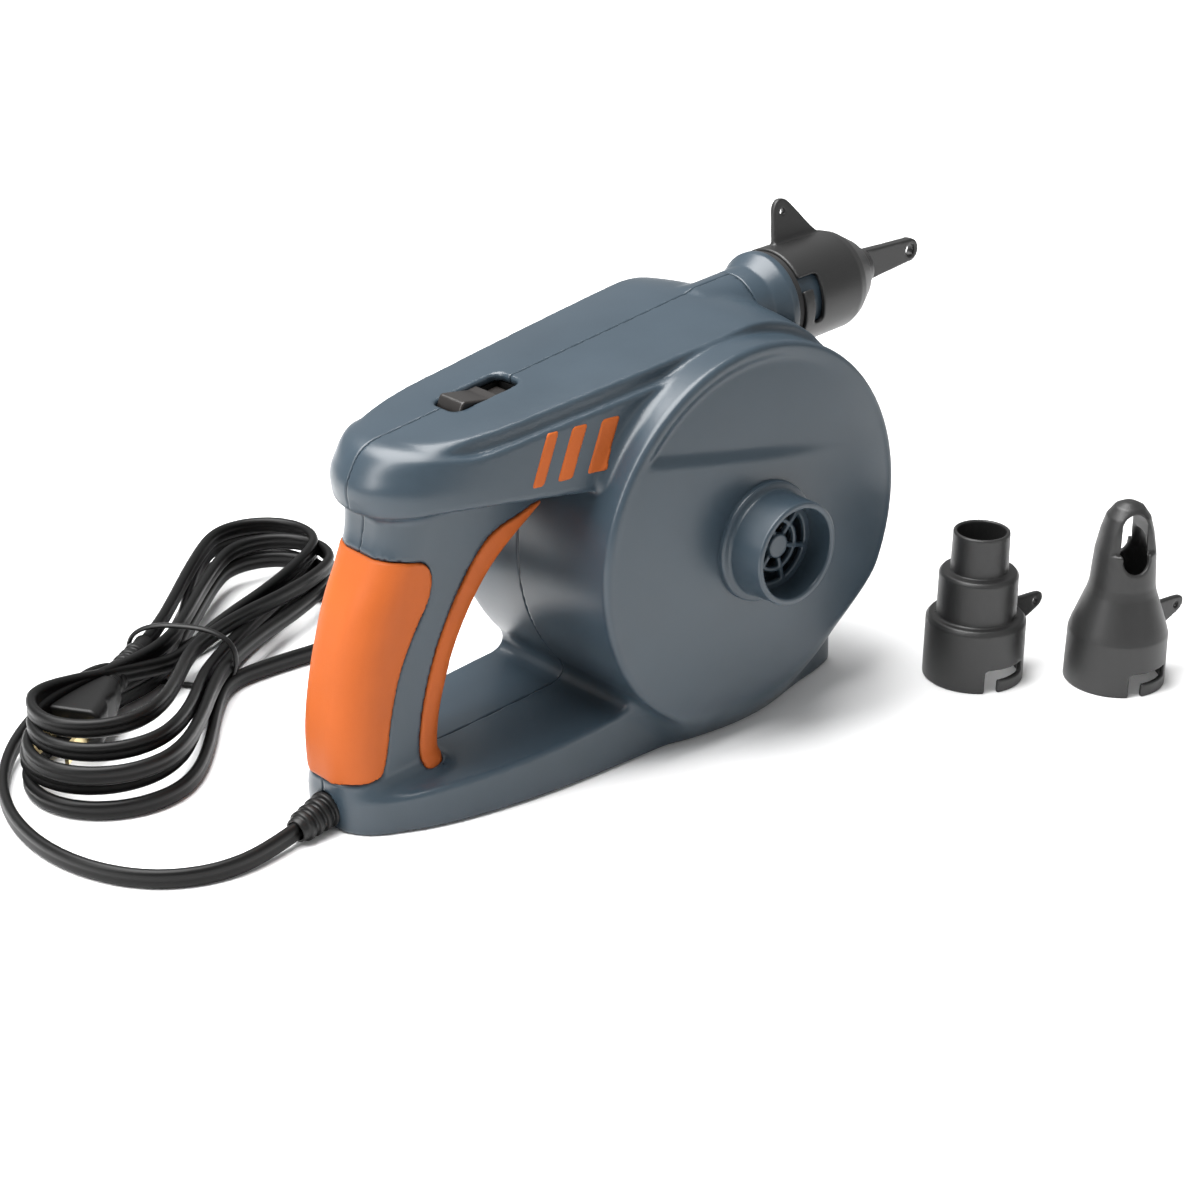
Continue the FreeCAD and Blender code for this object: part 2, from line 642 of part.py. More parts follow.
# ---------------------------------------------------------------- nozzles, in a frame with Z from the rim to the tip
def bayonet_slots():
    """The two L-shaped slots in a nozzle's socket, open at the rim."""
    cuts = []
    for turn in (0, 180):
        mouth = Part.makeBox(30, MOUTH, LEG_HIGH + 1, Vector(0, -MOUTH / 2, -1))
        half = math.degrees(math.asin(MOUTH / 2 / SOCKET_OUT))
        ring = tube(SOCKET_OUT + 3, SOCKET_R - 2, Vector(0, 0, LEG_LOW), Z, LEG_HIGH - LEG_LOW)
        sweep = Part.makeCylinder(30, 20, Vector(0, 0, 0), Z, LEG_TURN + half)
        sweep.rotate(Vector(0, 0, 0), Z, -half)
        cut = mouth.fuse(ring.common(sweep))
        cut.rotate(Vector(0, 0, 0), Z, turn)
        cuts.append(cut)
    outside = tube(SOCKET_OUT + 2, SOCKET_R - 0.4, Vector(0, 0, -2), Z, 20)
    return joined(cuts).common(outside)


def finger_wing(outline, tip, hole):
    """A flat three-cornered wing for turning the nozzle: outline and places are (radius, height)."""
    half = 1.1
    plate = polygon([Vector(r, -half, z) for r, z in outline]).extrude(Y * (2 * half))
    round_tip = rod(tip[2], Vector(tip[0], -half, tip[1]), Y, 2 * half)
    eye = rod(1.1, Vector(hole[0], -half - 1, hole[1]), Y, 2 * half + 2)
    wing = plate.fuse(round_tip).cut(eye)
    wing.rotate(Vector(0, 0, 0), Z, WING_AT)
    return wing


def turned(profile):
    return spun(profile, Vector(0, 0, 0), Z, X)


WING_LOW = (
    [(17.5, 13.0), (28.5, 19.3), (28.5, 24.2), (17.5, 24.2), (14.0, 22.5), (17.5, 22.5)],
    (29.3, 22.6, 3.3), (29.0, 22.8),
)
WING_HIGH = (
    [(17.9, 5.0), (31.6, 7.0), (32.4, 14.2), (17.0, 27.0), (17.0, 5.0)],
    (30.6, 10.6, 3.6), (29.4, 11.2),
)


def needle_nozzle():
    """Nozzle with a flat blade that holds a pinch valve open, ending in an eye."""
    outside = turned([(0, 0), (SOCKET_OUT, 0), (SOCKET_OUT - 0.4, 29), (17.2, 32.5), (12.3, 40.5), (8.4, 44.5),
                      (6.9, 48), (0, 48)])
    hollow = turned([(0, -1), (SOCKET_R, -1), (SOCKET_R, SOCKET_DEEP), (15.0, 29), (5.4, 45), (5.0, 49), (0, 49)])
    side = [(-6.2, 40), (6.2, 40), (6.2, 47), (4.3, 73), (-4.3, 73), (-6.2, 47)]
    blade = polygon([Vector(x, -1.9, z) for x, z in side]).extrude(Y * 3.8)
    eye = rod(4.4, Vector(0, -1.9, 73), Y, 3.8)
    hole = rod(2.4, Vector(0, -3, 73), Y, 6)
    tongue = blade.fuse(eye).cut(hole)
    tongue.rotate(Vector(0, 0, 0), Z, -FITTED_MOUTH)
    wing = finger_wing(*WING_HIGH).cut(turned([(0, -1), (17.3, -1), (17.3, 31), (9, 46), (0, 46)]))
    return outside.fuse(wing).cut(hollow).fuse(tongue).cut(bayonet_slots())


def stepped_nozzle():
    outside = turned([(0, 0), (SOCKET_OUT, 0), (SOCKET_OUT, 23), (17.6, 24.4), (14.75, 24.4), (14.75, 41),
                      (13.6, 42.4), (10.6, 42.4), (10.5, 58), (0, 58)])
    hollow = turned([(0, -1), (SOCKET_R, -1), (SOCKET_R, 22), (12.9, 23.4), (12.9, 40.4), (9.1, 41.4), (9.0, 59),
                     (0, 59)])
    return outside.fuse(finger_wing(*WING_LOW)).cut(hollow.fuse(bayonet_slots()))


def hooked_nozzle():
    """Nozzle whose open end is bridged by an arch, which holds a flap valve open."""
    outside = turned([(0, 0), (SOCKET_OUT, 0), (SOCKET_OUT - 0.2, 20), (17.6, 23), (12.8, 36), (12.1, 38), (11.2, 52),
                      (9.6, 60), (7.9, 65.5), (5.2, 69.2), (2.2, 70.8), (0, 71)])
    hollow = turned([(0, -1), (SOCKET_R, -1), (SOCKET_R, 19), (16.2, 22), (11.2, 35), (9.2, 50), (6.5, 59),
                     (0, 60)])
    gate = joined([block(-30, 30, -5.0, 5.0, 51, 62.5), rod(5.0, Vector(-30, 0, 62.5), X, 60),
                   rod(5.0, Vector(-30, 0, 51), X, 60)])
    trim = joined([block(7.0, 30, -30, 30, 53, 80), block(-30, -7.0, -30, 30, 53, 80)])
    return outside.fuse(finger_wing(*WING_LOW)).cut(hollow.fuse([gate, bayonet_slots()])).cut(trim)


def standing(shape, place):
    heading = math.radians(SPARE_MOUTH)
    return framed(shape, Vector(place[0], place[1], 0), Z, Vector(math.cos(heading), math.sin(heading), 0))


# ---------------------------------------------------------------- the mains cord
HANK_AXIS = Vector(math.cos(math.radians(HANK_HEADING)), math.sin(math.radians(HANK_HEADING)), 0)
RELIEF_START = Vector(-146.0, 0, 8.0)


def hank_point(along, across, z):
    side = Z.cross(HANK_AXIS)
    return Vector(HANK_CENTRE[0], HANK_CENTRE[1], z) + HANK_AXIS * along + side * across


def strain_relief():
    """A tapered, ridged sleeve, from a flange inside the housing to the cord."""
    end = Vector(*CORD_ROUTE[0])
    axis = (end - RELIEF_START)
    length = axis.Length
    axis.normalize()
    profile = [(CORD_R, 0), (6.4, 0), (6.4, 2.4), (5.4, 2.4), (5.4, 8)]
    for k in range(4):
        low = 8 + 3.6 * k
        ridge, groove = 6.4 - 0.35 * k, 5.2 - 0.2 * k
        profile += [(ridge, low), (ridge - 0.1, low + 2.2), (groove, low + 2.2), (groove, low + 3.6)]
    profile += [(4.2, length), (CORD_R, length)]
    side = Y.cross(axis)
    return spun(profile, RELIEF_START, axis, side), axis, length


def eight_sided(half_x, half_y, corner, z):
    quarter = [(half_x, half_y - corner), (half_x - corner, half_y)]
    right = [(x, -y) for x, y in reversed(quarter)] + quarter
    whole = right + [(-x, -y) for x, y in right]
    return Part.makePolygon([Vector(x, y, z) for x, y in whole + whole[:1]])


def plug():
    """The plug's blades, body and sleeve, laid inside the hank."""
    tip, back = Vector(*PLUG_TIP), Vector(*PLUG_BACK)
    axis = back - tip
    length = axis.Length
    axis.normalize()
    across = Z.cross(axis)
    blades = []
    for s in (-1, 1):
        blade = Part.makeBox(1.5, 6.3, 20, Vector(6.35 * s - 0.75, -3.15, 0))
        blades.append(blade.cut(rod(1.5, Vector(-20, 0, 4), X, 40)))
    blades = Part.makeCompound(blades)
    body = Part.makeLoft([eight_sided(11, 8, 3, BLADES_END), eight_sided(6, 6, 1.5, PLUG_END)], True, True)
    sleeve = Part.makeCone(5.6, 4.2, length - PLUG_END, Vector(0, 0, PLUG_END), Z)
    return [framed(shape, tip, axis, across) for shape in (blades, body.cut(blades), sleeve)]


def cord_tie():
    outer = Part.makeBox(2.6, 57.0, HANK_TOP + 2.2, Vector(-1.3, -30.0, 0))
    inner = Part.makeBox(4.0, 53.0, HANK_TOP - 2.2, Vector(-2.0, -28.0, 2.2))
    return framed(outer.cut(inner), hank_point(TIE_AT, 0, 0), Z, HANK_AXIS)


def cord():
    tube_solid, length, radii = cable(CORD_ROUTE, CORD_R)
    print("cord tube: length %.1f, volume / (section x length) %.4f" % (
        length, tube_solid.Volume / (math.pi * CORD_R**2 * length)))
    print("bend radii:", [round(r, 1) for r in radii])
    outline = curve_through([hank_point(a, c, 0.2) for a, c in HANK_OUTLINE], True)
    hank = Part.Face(Part.Wire(outline)).extrude(Z * (HANK_TOP - 0.2))
    blades, body, sleeve = plug()
    tie = cord_tie()
    hank = hank.cut(Part.makeCompound([tube_solid, blades, body, sleeve, tie]))
    NODES["power_cord"] = tube_solid
    NODES["cord_hank"] = max(hank.Solids, key=lambda s: s.Volume)
    NODES["cord_tie"] = tie
    NODES["plug_blades"] = blades
    NODES["plug_body"] = body
    NODES["plug_sleeve"] = sleeve


# ---------------------------------------------------------------- the whole pump
def plate_posts():
    """Posts on the left half that hold the motor plate, and their screws."""
    posts, screws = [], []
    for angle, radius in PLATE_POSTS:
        a = math.radians(angle)
        at = Vector(radius * math.cos(a), 0, FAN_Z + radius * math.sin(a))
        posts.append(rod(4.0, at + Y * PLATE_FACE, Y, DRUM_LEFT - WALL - PLATE_FACE))
        head = rod(3.0, at + Y * (CHAMBER_BACK - 1.6), Y, 1.6)
        screws.append(rod(1.4, at + Y * CHAMBER_BACK, Y, 12).fuse(head))
    return posts, screws


def housing_posts():
    """Posts through the housing where its halves are screwed together, the screws, and the holes for them."""
    posts, screws, holes = [], [], []
    for x, z in HOUSING_SCREWS:
        seat = Vector(x, SCREW_SEAT, z)
        screw = rod(1.5, seat - Y * 18, Y, 18).fuse(rod(2.9, seat, Y, 2.4))
        posts.append(rod(SCREW_POST_R, Vector(x, -60, z), Y, 120))
        screws.append(screw)
        holes.append(screw.fuse(rod(3.2, seat, Y, 60)))
    return posts, screws, holes


def scoop(t=0.0):
    """Hollow in the drum's top beside the outlet's collar and the fitted nozzle."""
    return rod(SCOOP_R + t, out_at(COLLAR_AT - t), OUT, 60)


def housing():
    skin = joined([drum(), arm(), grip(), base()]).cut(scoop())
    room = joined([drum(WALL), arm(WALL), grip(WALL), base(WALL)]).cut(scoop(WALL))
    pad, strip, bars = grip_inlay(PAD_ZONE), grip_inlay(STRIP_ZONE), accent_bars()
    pad, strip = pad.cut(arm()), strip.cut(arm())
    relief, axis, length = strain_relief()
    gland = rod(5.4, RELIEF_START, axis, length)
    throat = rod(OUTLET_ROOT_R, out_at(OUTLET_START), OUT, 60)
    bore = fan_rod(PORT_BORE, -60, -40)
    shell = skin.cut(room)
    shell = shell.cut(Part.makeCompound([bore, throat, switch_opening(), pad, strip, bars, gland]))
    shell = shell.cut(outlet_tube()).cut(relief)
    right, left = [max(half.Solids, key=lambda s: s.Volume) for half in halves(shell)]
    room_right, room_left = halves(room)
    posts, plate_screws = plate_posts()
    pillars, screws, holes = housing_posts()
    right = right.fuse([inlet_port()] + [p.common(room_right) for p in pillars]).cut(Part.makeCompound(holes))
    left = left.fuse([p.common(room_left) for p in posts + pillars])
    NODES["shell_right"] = right
    NODES["shell_left"] = left.cut(Part.makeCompound(plate_screws + holes))
    NODES["rear_grip_pad"] = pad
    NODES["inner_grip_strip"] = strip
    NODES["accent_bars"] = bars
    NODES["strain_relief"] = relief
    NODES["plate_screws"] = Part.makeCompound(plate_screws)
    NODES["housing_screws"] = Part.makeCompound(screws)


def internal_leads():
    """Wires from the cord's clamp to the switch, and from the switch to the motor's upper brush."""
    supply, supply_length, supply_radii = cable(SUPPLY_LEAD, LEAD_R)
    motor_side, motor_length, motor_radii = cable(MOTOR_LEAD, LEAD_R)
    print("leads: %.0f and %.0f mm" % (supply_length, motor_length), [round(r) for r in supply_radii + motor_radii])
    return Part.makeCompound([supply, motor_side])


def inside():
    shafts = motor()
    plate = fan_tube(DRUM_R - WALL - 0.3, 4.2, CHAMBER_BACK, PLATE_FACE)
    passage = rod(OUTLET_NECK_R + 0.3, out_at(OUTLET_START), OUT, 60).fuse(duct_channel(1.7))
    plate = plate.cut(passage).cut(scoop(WALL + 0.3)).cut(Part.makeCompound([shafts, NODES["plate_screws"]]))
    NODES["motor_plate"] = max(plate.Solids, key=lambda s: s.Volume)
    NODES["scroll_wall"] = scroll()
    NODES["outlet_duct"] = outlet_duct()
    NODES["inlet_grille"] = inlet_grille()
    NODES["outlet_tube"] = outlet_tube()
    NODES["outlet_seal"] = tube(COLLAR_R - 0.9, SPIGOT_R, out_at(COLLAR_END), OUT, SEAL_END - COLLAR_END)
    NODES["switch_body"] = switch_body()
    NODES["switch_terminals"] = switch_terminals()
    NODES["rocker"] = rocker()
    NODES["cord_clamp"] = tube(5.6, CORD_R, Vector(-137, 0, 8.0), X, 6)
    NODES["internal_leads"] = internal_leads()


def nozzles():
    mouth = math.radians(FITTED_MOUTH)
    side = OUT_UP * math.cos(mouth) - Y * math.sin(mouth)
    NODES["needle_nozzle"] = framed(needle_nozzle(), out_at(NOZZLE_AT), OUT, side)
    NODES["stepped_nozzle"] = standing(stepped_nozzle(), SPARE_STEPPED)
    NODES["hooked_nozzle"] = standing(hooked_nozzle(), SPARE_HOOKED)


def export():
    os.makedirs("parts", exist_ok=True)
    for name, shape in NODES.items():
        shape.exportStep("parts/" + name + ".step")


housing()
inside()
nozzles()
cord()
for node_name, node_shape in NODES.items():
    print(node_name, node_shape.isValid(), len(node_shape.Solids), round(node_shape.Volume))
export()
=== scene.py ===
"""Electric air mattress pump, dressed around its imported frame.

Shapes are worked out in millimetres, as fields that are negative inside a solid, and turned into
metres on the way to Blender. +X runs from the grip to the outlet, -Y is the right face, +Z is up
and the floor is at z = 0. A radius given to cut or join rounds the edge or fillet it leaves.
"""

import math

import bpy
import numpy as np
from mathutils import Matrix, Vector


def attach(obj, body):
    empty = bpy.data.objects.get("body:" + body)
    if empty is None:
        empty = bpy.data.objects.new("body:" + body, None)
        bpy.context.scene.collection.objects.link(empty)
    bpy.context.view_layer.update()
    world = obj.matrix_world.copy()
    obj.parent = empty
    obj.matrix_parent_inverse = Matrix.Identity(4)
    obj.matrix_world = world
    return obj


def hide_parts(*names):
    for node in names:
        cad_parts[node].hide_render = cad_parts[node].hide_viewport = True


MM = 0.001

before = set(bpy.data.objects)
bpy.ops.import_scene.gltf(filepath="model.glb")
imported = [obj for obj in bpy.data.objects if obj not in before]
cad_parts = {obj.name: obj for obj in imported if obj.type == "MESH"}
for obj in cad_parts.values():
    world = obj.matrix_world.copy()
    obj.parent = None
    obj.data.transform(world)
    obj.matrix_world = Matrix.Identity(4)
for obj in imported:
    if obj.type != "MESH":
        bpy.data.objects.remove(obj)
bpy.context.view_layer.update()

# ---------------------------------------------------------------- driving sizes, in millimetres
# the round casing, and the crescent hollowed out above its crease
FAN_Z = 75.0
DRUM_R, DRUM_RIGHT, DRUM_LEFT = 69.5, -46.0, 40.0
DOME, DOME_R, LEFT_EDGE = 3.4, 66.0, 8.0
CRESCENT_DEEP, CRESCENT_R = 1.5, 66.6
CREASE_Z, CREASE_SLOPE = 104.0, 0.172

# the arm: its sloping crowned top, which turns down over the casing, and the panel raised on it
SLOPE = math.radians(8.4)
CREST_R, CREST_X, CREST_Z = 45.0, 9.6, 105.1
CROWN_R = 190.0
STEP_HIGH, STEP_IN = 4.6, 3.0
ARM_LEAN, ARM_LEAN_Z = 0.07, 112.0  # inward per millimetre up, and the height its plan is for
BARS = [(-89.0, 4.8), (-79.0, 6.0), (-67.3, 7.2)]  # each bar's foot and width
BAR_LOW, BAR_HIGH, BAR_LEAN = 112.3, 129.6, 7.2
SWITCH_X, SWITCH_LONG, SWITCH_WIDE, SWITCH_DEEP = -86.0, 28.4, 13.0, 12.0
PIVOT_DEEP, ROCKER_R, ROCKER_HALF = 7.0, 13.3, 6.1
ROCKER_TILT = math.radians(8.0)

# the grip and base, and the rounding of the lower edges
GRIP_TOP = 118.0
BASE_LEAN = 0.03
EDGE = 1.6

# the outlet, as distances along its axis and radii about it
TILT = math.radians(3.4)
OUTLET_Z = 136.3
NECK_START, NECK_END, NECK_R, NECK_TAPER = 8.0, 30.0, 14.1, 1.2 / 38.0
THROAT_START, THROAT_R = 21.0, 12.6
SCOOP_START, SCOOP_R = 38.0, 19.3
NOZZLE_AT = 49.5

# the inlet port, measured out from the fan's middle along -Y
PORT_START, PORT_END, PORT_OUT, PORT_IN = 44.0, 65.5, 18.5, 15.8
GRILLE_AT, GRILLE_R, HUB_R = 54.4, 16.4, 4.4

# the nozzles
SOCKET_IN, SOCKET_OUT = 16.9, 18.7
SLOT_HALF, SLOT_Z, SLOT_TURN = 2.5, 7.0, math.radians(21.0)
WING_HALF, EYE_R = 1.15, 1.2
WING_TURN = math.radians(110.0)
FITTED_TURN, SPARE_TURN = math.radians(240.0), math.radians(242.0)
BLADE_END = 73.0
GATE_LOW, GATE_HIGH, GATE_HALF = 51.0, 62.5, 5.0
SPARE_STEPPED, SPARE_HOOKED = (94.7, -67.7), (131.7, -104.9)

# the gland in the grip's foot, and its slope aside and down per millimetre of X
RELIEF_START = Vector((-146.0, 0, 8.0))
GLAND_R, GLAND_ASIDE, GLAND_DOWN = 5.4, 0.1956, 0.1304

# the shell and what is let into it
WALL = 3.1
INLAY_GAP, INLAY_DEEP, PAD_PROUD, BAR_PROUD = 0.22, 2.0, 0.5, 0.35
NEAR_GRIP = 1.5  # how far from the grip's own shape an inlay may reach
PITCH = 1.15  # the housing's grid, fine enough for its wall
SEAM_LINES = [0.0, 0.35, 0.8, 1.4]  # grid lines close together beside the seam

ALONG = Vector((math.cos(SLOPE), 0, math.sin(SLOPE)))
ABOVE = Vector((-math.sin(SLOPE), 0, math.cos(SLOPE)))
OUT = Vector((math.cos(TILT), 0, math.sin(TILT)))
OUT_UP = Vector((-math.sin(TILT), 0, math.cos(TILT)))
Y_AXIS, Z_AXIS = Vector((0, 1, 0)), Vector((0, 0, 1))


# ---------------------------------------------------------------- materials
MOTTLE_SCALE, GLOSS_SPREAD, GRAIN_DEEP = 38.0, 0.12, 0.0001
WAVE_BANDS, RIDGE_STRENGTH, RIDGE_DEEP = 20.0, 0.42, 0.0002


def material(name, colour, rough, grain=0.0, grain_size=0.5, mottle=0.06, metal=0.0, specular=0.5):
    """A surface with a slightly mottled colour, uneven gloss and a grain in millimetres."""
    made = bpy.data.materials.new(name)
    made.use_nodes = True
    nodes, links = made.node_tree.nodes, made.node_tree.links
    shader = nodes["Principled BSDF"]
    place = nodes.new("ShaderNodeTexCoord")
    shader.inputs["Metallic"].default_value = metal
    shader.inputs["Specular IOR Level"].default_value = specular

    cloud = nodes.new("ShaderNodeTexNoise")
    cloud.inputs["Scale"].default_value = MOTTLE_SCALE
    cloud.inputs["Detail"].default_value = 5.0
    links.new(place.outputs["Object"], cloud.inputs["Vector"])
    tint = nodes.new("ShaderNodeValToRGB")
    dark, light = tint.color_ramp.elements
    dark.position, light.position = 0.3, 0.7
    dark.color = [c * (1 - mottle) for c in colour] + [1]
    light.color = [min(1.0, c * (1 + mottle)) for c in colour] + [1]
    links.new(cloud.outputs["Fac"], tint.inputs["Fac"])
    links.new(tint.outputs["Color"], shader.inputs["Base Color"])

    gloss = nodes.new("ShaderNodeMapRange")
    gloss.inputs["To Min"].default_value = rough * (1 - GLOSS_SPREAD)
    gloss.inputs["To Max"].default_value = min(1.0, rough * (1 + GLOSS_SPREAD))
    links.new(cloud.outputs["Fac"], gloss.inputs["Value"])
    links.new(gloss.outputs["Result"], shader.inputs["Roughness"])

    if grain:
        speck = nodes.new("ShaderNodeTexNoise")
        speck.inputs["Scale"].default_value = 1 / (grain_size * MM)
        speck.inputs["Detail"].default_value = 2.0
        links.new(place.outputs["Object"], speck.inputs["Vector"])
        bump = nodes.new("ShaderNodeBump")
        bump.inputs["Strength"].default_value = grain
        bump.inputs["Distance"].default_value = GRAIN_DEEP
        links.new(speck.outputs["Fac"], bump.inputs["Height"])
        links.new(bump.outputs["Normal"], shader.inputs["Normal"])
    return made


def ridged_material(name, colour, rough, spacing, metal=0.0):
    """A material with ridges spaced in millimetres, for wound wire or stacked sheet."""
    made = material(name, colour, rough, metal=metal)
    nodes, links = made.node_tree.nodes, made.node_tree.links
    place = nodes["Texture Coordinate"]
    wave = nodes.new("ShaderNodeTexWave")
    wave.bands_direction = "Y"
    wave.inputs["Scale"].default_value = 1 / (spacing * MM) / WAVE_BANDS
    links.new(place.outputs["Object"], wave.inputs["Vector"])
    bump = nodes.new("ShaderNodeBump")
    bump.inputs["Strength"].default_value = RIDGE_STRENGTH
    bump.inputs["Distance"].default_value = RIDGE_DEEP
    links.new(wave.outputs["Fac"], bump.inputs["Height"])
    links.new(bump.outputs["Normal"], nodes["Principled BSDF"].inputs["Normal"])
    return made


SLATE = material("slate_plastic", (0.029, 0.045, 0.060), 0.32, grain=0.22, grain_size=0.35)
ORANGE = material("orange_soft_plastic", (0.40, 0.085, 0.012), 0.55, grain=0.45, grain_size=0.6,
                  specular=0.25)
CHARCOAL = material("charcoal_plastic", (0.015, 0.015, 0.015), 0.42, grain=0.3, grain_size=0.4)
ROCKER_PLASTIC = material("rocker_plastic", (0.014, 0.012, 0.011), 0.38, grain=0.15)
BLACK = material("black_plastic", (0.006, 0.006, 0.006), 0.42, grain=0.2, specular=0.3)
CORD_VINYL = material("cord_vinyl", (0.004, 0.004, 0.004), 0.42, grain=0.15, grain_size=0.8,
                      specular=0.22)
RUBBER = material("seal_rubber", (0.01, 0.01, 0.01), 0.65, grain=0.3)
PALE = material("pale_inner_plastic", (0.5, 0.5, 0.47), 0.5, grain=0.2)
STEEL = material("steel", (0.55, 0.55, 0.56), 0.3, grain=0.1, metal=1.0)
BRASS = material("brass", (0.75, 0.6, 0.32), 0.28, grain=0.1, metal=1.0)
BRONZE = material("sintered_bronze", (0.5, 0.33, 0.17), 0.5, grain=0.4, metal=1.0)
CARBON = material("pressed_carbon", (0.03, 0.03, 0.03), 0.6, grain=0.5)
LAMINATION = ridged_material("steel_lamination", (0.33, 0.33, 0.34), 0.45, 0.5, metal=1.0)
COPPER = ridged_material("copper_winding", (0.6, 0.22, 0.08), 0.35, 0.6, metal=0.9)

NODE_MATERIALS = {
    STEEL: "plate_screws housing_screws front_bracket rear_bracket motor_screws motor_shaft fan_nut",
    LAMINATION: "stator_core armature_core",
    COPPER: "field_coils armature_windings commutator",
    BRONZE: "front_bush rear_bush",
    BRASS: "brush_holders switch_terminals plug_blades",
    CARBON: "carbon_brushes",
    PALE: "cooling_fan fan_wheel motor_plate scroll_wall outlet_duct",
    RUBBER: "outlet_seal internal_leads",
    BLACK: "switch_body cord_clamp",
}


def dress_nodes():
    """Give every CAD piece that stays in sight its finish."""
    for finish, names in NODE_MATERIALS.items():
        for name in names.split():
            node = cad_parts[name]
            node.data.materials.clear()
            node.data.materials.append(finish)


# ---------------------------------------------------------------- fields
def cut(a, b, radius=0.0):
    """What is inside both fields, with the edge between them rounded."""
    both = np.hypot(np.maximum(a + radius, 0), np.maximum(b + radius, 0))
    return np.minimum(np.maximum(a, b), -radius) + both


def join(a, b, radius=0.0):
    """What is inside either field, with a fillet between them."""
    return -cut(-a, -b, radius)


def ease(value):
    """0 below 0, 1 above 1, smooth between."""
    value = np.clip(value, 0, 1)
    return value * value * (3 - 2 * value)


def through(knots):
    """A smooth function through (place, value) knots, level beyond its ends."""
    place, value = np.array(knots, float).T
    slope = np.gradient(value, place)

    def at(x):
        x = np.clip(x, place[0], place[-1])
        k = np.clip(np.searchsorted(place, x) - 1, 0, len(place) - 2)
        gap = place[k + 1] - place[k]
        t = (x - place[k]) / gap
        start = (1 + 2 * t) * (1 - t) ** 2 * value[k] + t * (1 - t) ** 2 * gap * slope[k]
        return start + t * t * (3 - 2 * t) * value[k + 1] + t * t * (t - 1) * gap * slope[k + 1]

    return at


def closed_curve(points, steps=10):
    """A smooth closed line through the points."""
    p = np.array(points, float)
    before, after, beyond = np.roll(p, 1, 0), np.roll(p, -1, 0), np.roll(p, -2, 0)
    out = []
    for t in np.arange(steps) / steps:
        square = (2 * before - 5 * p + 4 * after - beyond) * t**2
        cube = (3 * p - before - 3 * after + beyond) * t**3
        out.append(0.5 * (2 * p + (after - before) * t + square + cube))
    return np.stack(out, 1).reshape(-1, 2)


def outline(points, steps=10, reach=26.0, pitch=1.0):
    """A field in the plane: the signed distance to a closed line, looked up from a table."""
    line = closed_curve(points, steps) if steps else np.array(points, float)
    low, high = line.min(0) - reach, line.max(0) + reach
    us, vs = (np.arange(low[k], high[k], pitch) for k in (0, 1))
    spot = np.stack(np.meshgrid(us, vs, indexing="ij"), -1)
    nearest = np.full(spot.shape[:2], 1e9)
    odd = np.zeros(spot.shape[:2], bool)
    for a, b in zip(line, np.roll(line, -1, 0)):
        run = b - a
        t = np.clip(((spot - a) @ run) / (run @ run), 0, 1)
        nearest = np.minimum(nearest, np.linalg.norm(spot - a - t[..., None] * run, axis=-1))
        spans = (a[1] <= spot[..., 1]) != (b[1] <= spot[..., 1])
        if a[1] != b[1]:
            odd ^= spans & (spot[..., 0] < a[0] + (spot[..., 1] - a[1]) * run[0] / run[1])
    table = np.where(odd, -nearest, nearest)

    def at(u, v):
        i = np.clip((u - low[0]) / pitch, 0, len(us) - 1.001)
        j = np.clip((v - low[1]) / pitch, 0, len(vs) - 1.001)
        i0, j0 = i.astype(int), j.astype(int)
        fi, fj = i - i0, j - j0
        first = table[i0, j0] * (1 - fj) + table[i0, j0 + 1] * fj
        second = table[i0 + 1, j0] * (1 - fj) + table[i0 + 1, j0 + 1] * fj
        return first * (1 - fi) + second * fi

    return at


def span(low, high, pitch):
    """Evenly spaced grid lines, no more than a pitch apart."""
    return np.linspace(low, high, max(2, int(math.ceil((high - low) / pitch)) + 1))


def surface(field, lines):
    """Points and four-sided faces of a field's zero surface, between the grid lines given."""
    lines = [np.asarray(line, float) for line in lines]
    value = field(*np.meshgrid(*lines, indexing="ij"))
    inside = value < 0
    filled = np.zeros([n - 1 for n in inside.shape], np.int8)
    for corner in np.ndindex(2, 2, 2):
        filled += inside[tuple(slice(c, n - 1 + c) for c, n in zip(corner, inside.shape))]
    active = (filled > 0) & (filled < 8)
    count = int(active.sum())
    index = np.full(active.shape, -1)
    index[active] = np.arange(count)
    total, number, faces = np.zeros((count, 3)), np.zeros(count), []
    for axis in range(3):
        here = [slice(None)] * 3
        there = [slice(None)] * 3
        here[axis], there[axis] = slice(0, -1), slice(1, None)
        start = np.argwhere(inside[tuple(here)] != inside[tuple(there)])
        end = start.copy()
        end[:, axis] += 1
        first, second = value[tuple(start.T)], value[tuple(end.T)]
        spot = np.stack([lines[a][start[:, a]] for a in range(3)], 1)
        gap = lines[axis][end[:, axis]] - lines[axis][start[:, axis]]
        spot[:, axis] += first / (first - second) * gap
        ring = []
        for du, dw in ((0, 0), (1, 0), (1, 1), (0, 1)):
            cell = start.copy()
            cell[:, (axis + 1) % 3] -= du
            cell[:, (axis + 2) % 3] -= dw
            ring.append(index[tuple(cell.T)])
            number += np.bincount(ring[-1], minlength=count)
            for a in range(3):
                total[:, a] += np.bincount(ring[-1], weights=spot[:, a], minlength=count)
        quad = np.stack(ring, 1)
        quad[first > 0] = quad[first > 0][:, ::-1]
        faces.append(quad)
    return drawn_in(total / number[:, None], field, lines), np.concatenate(faces)


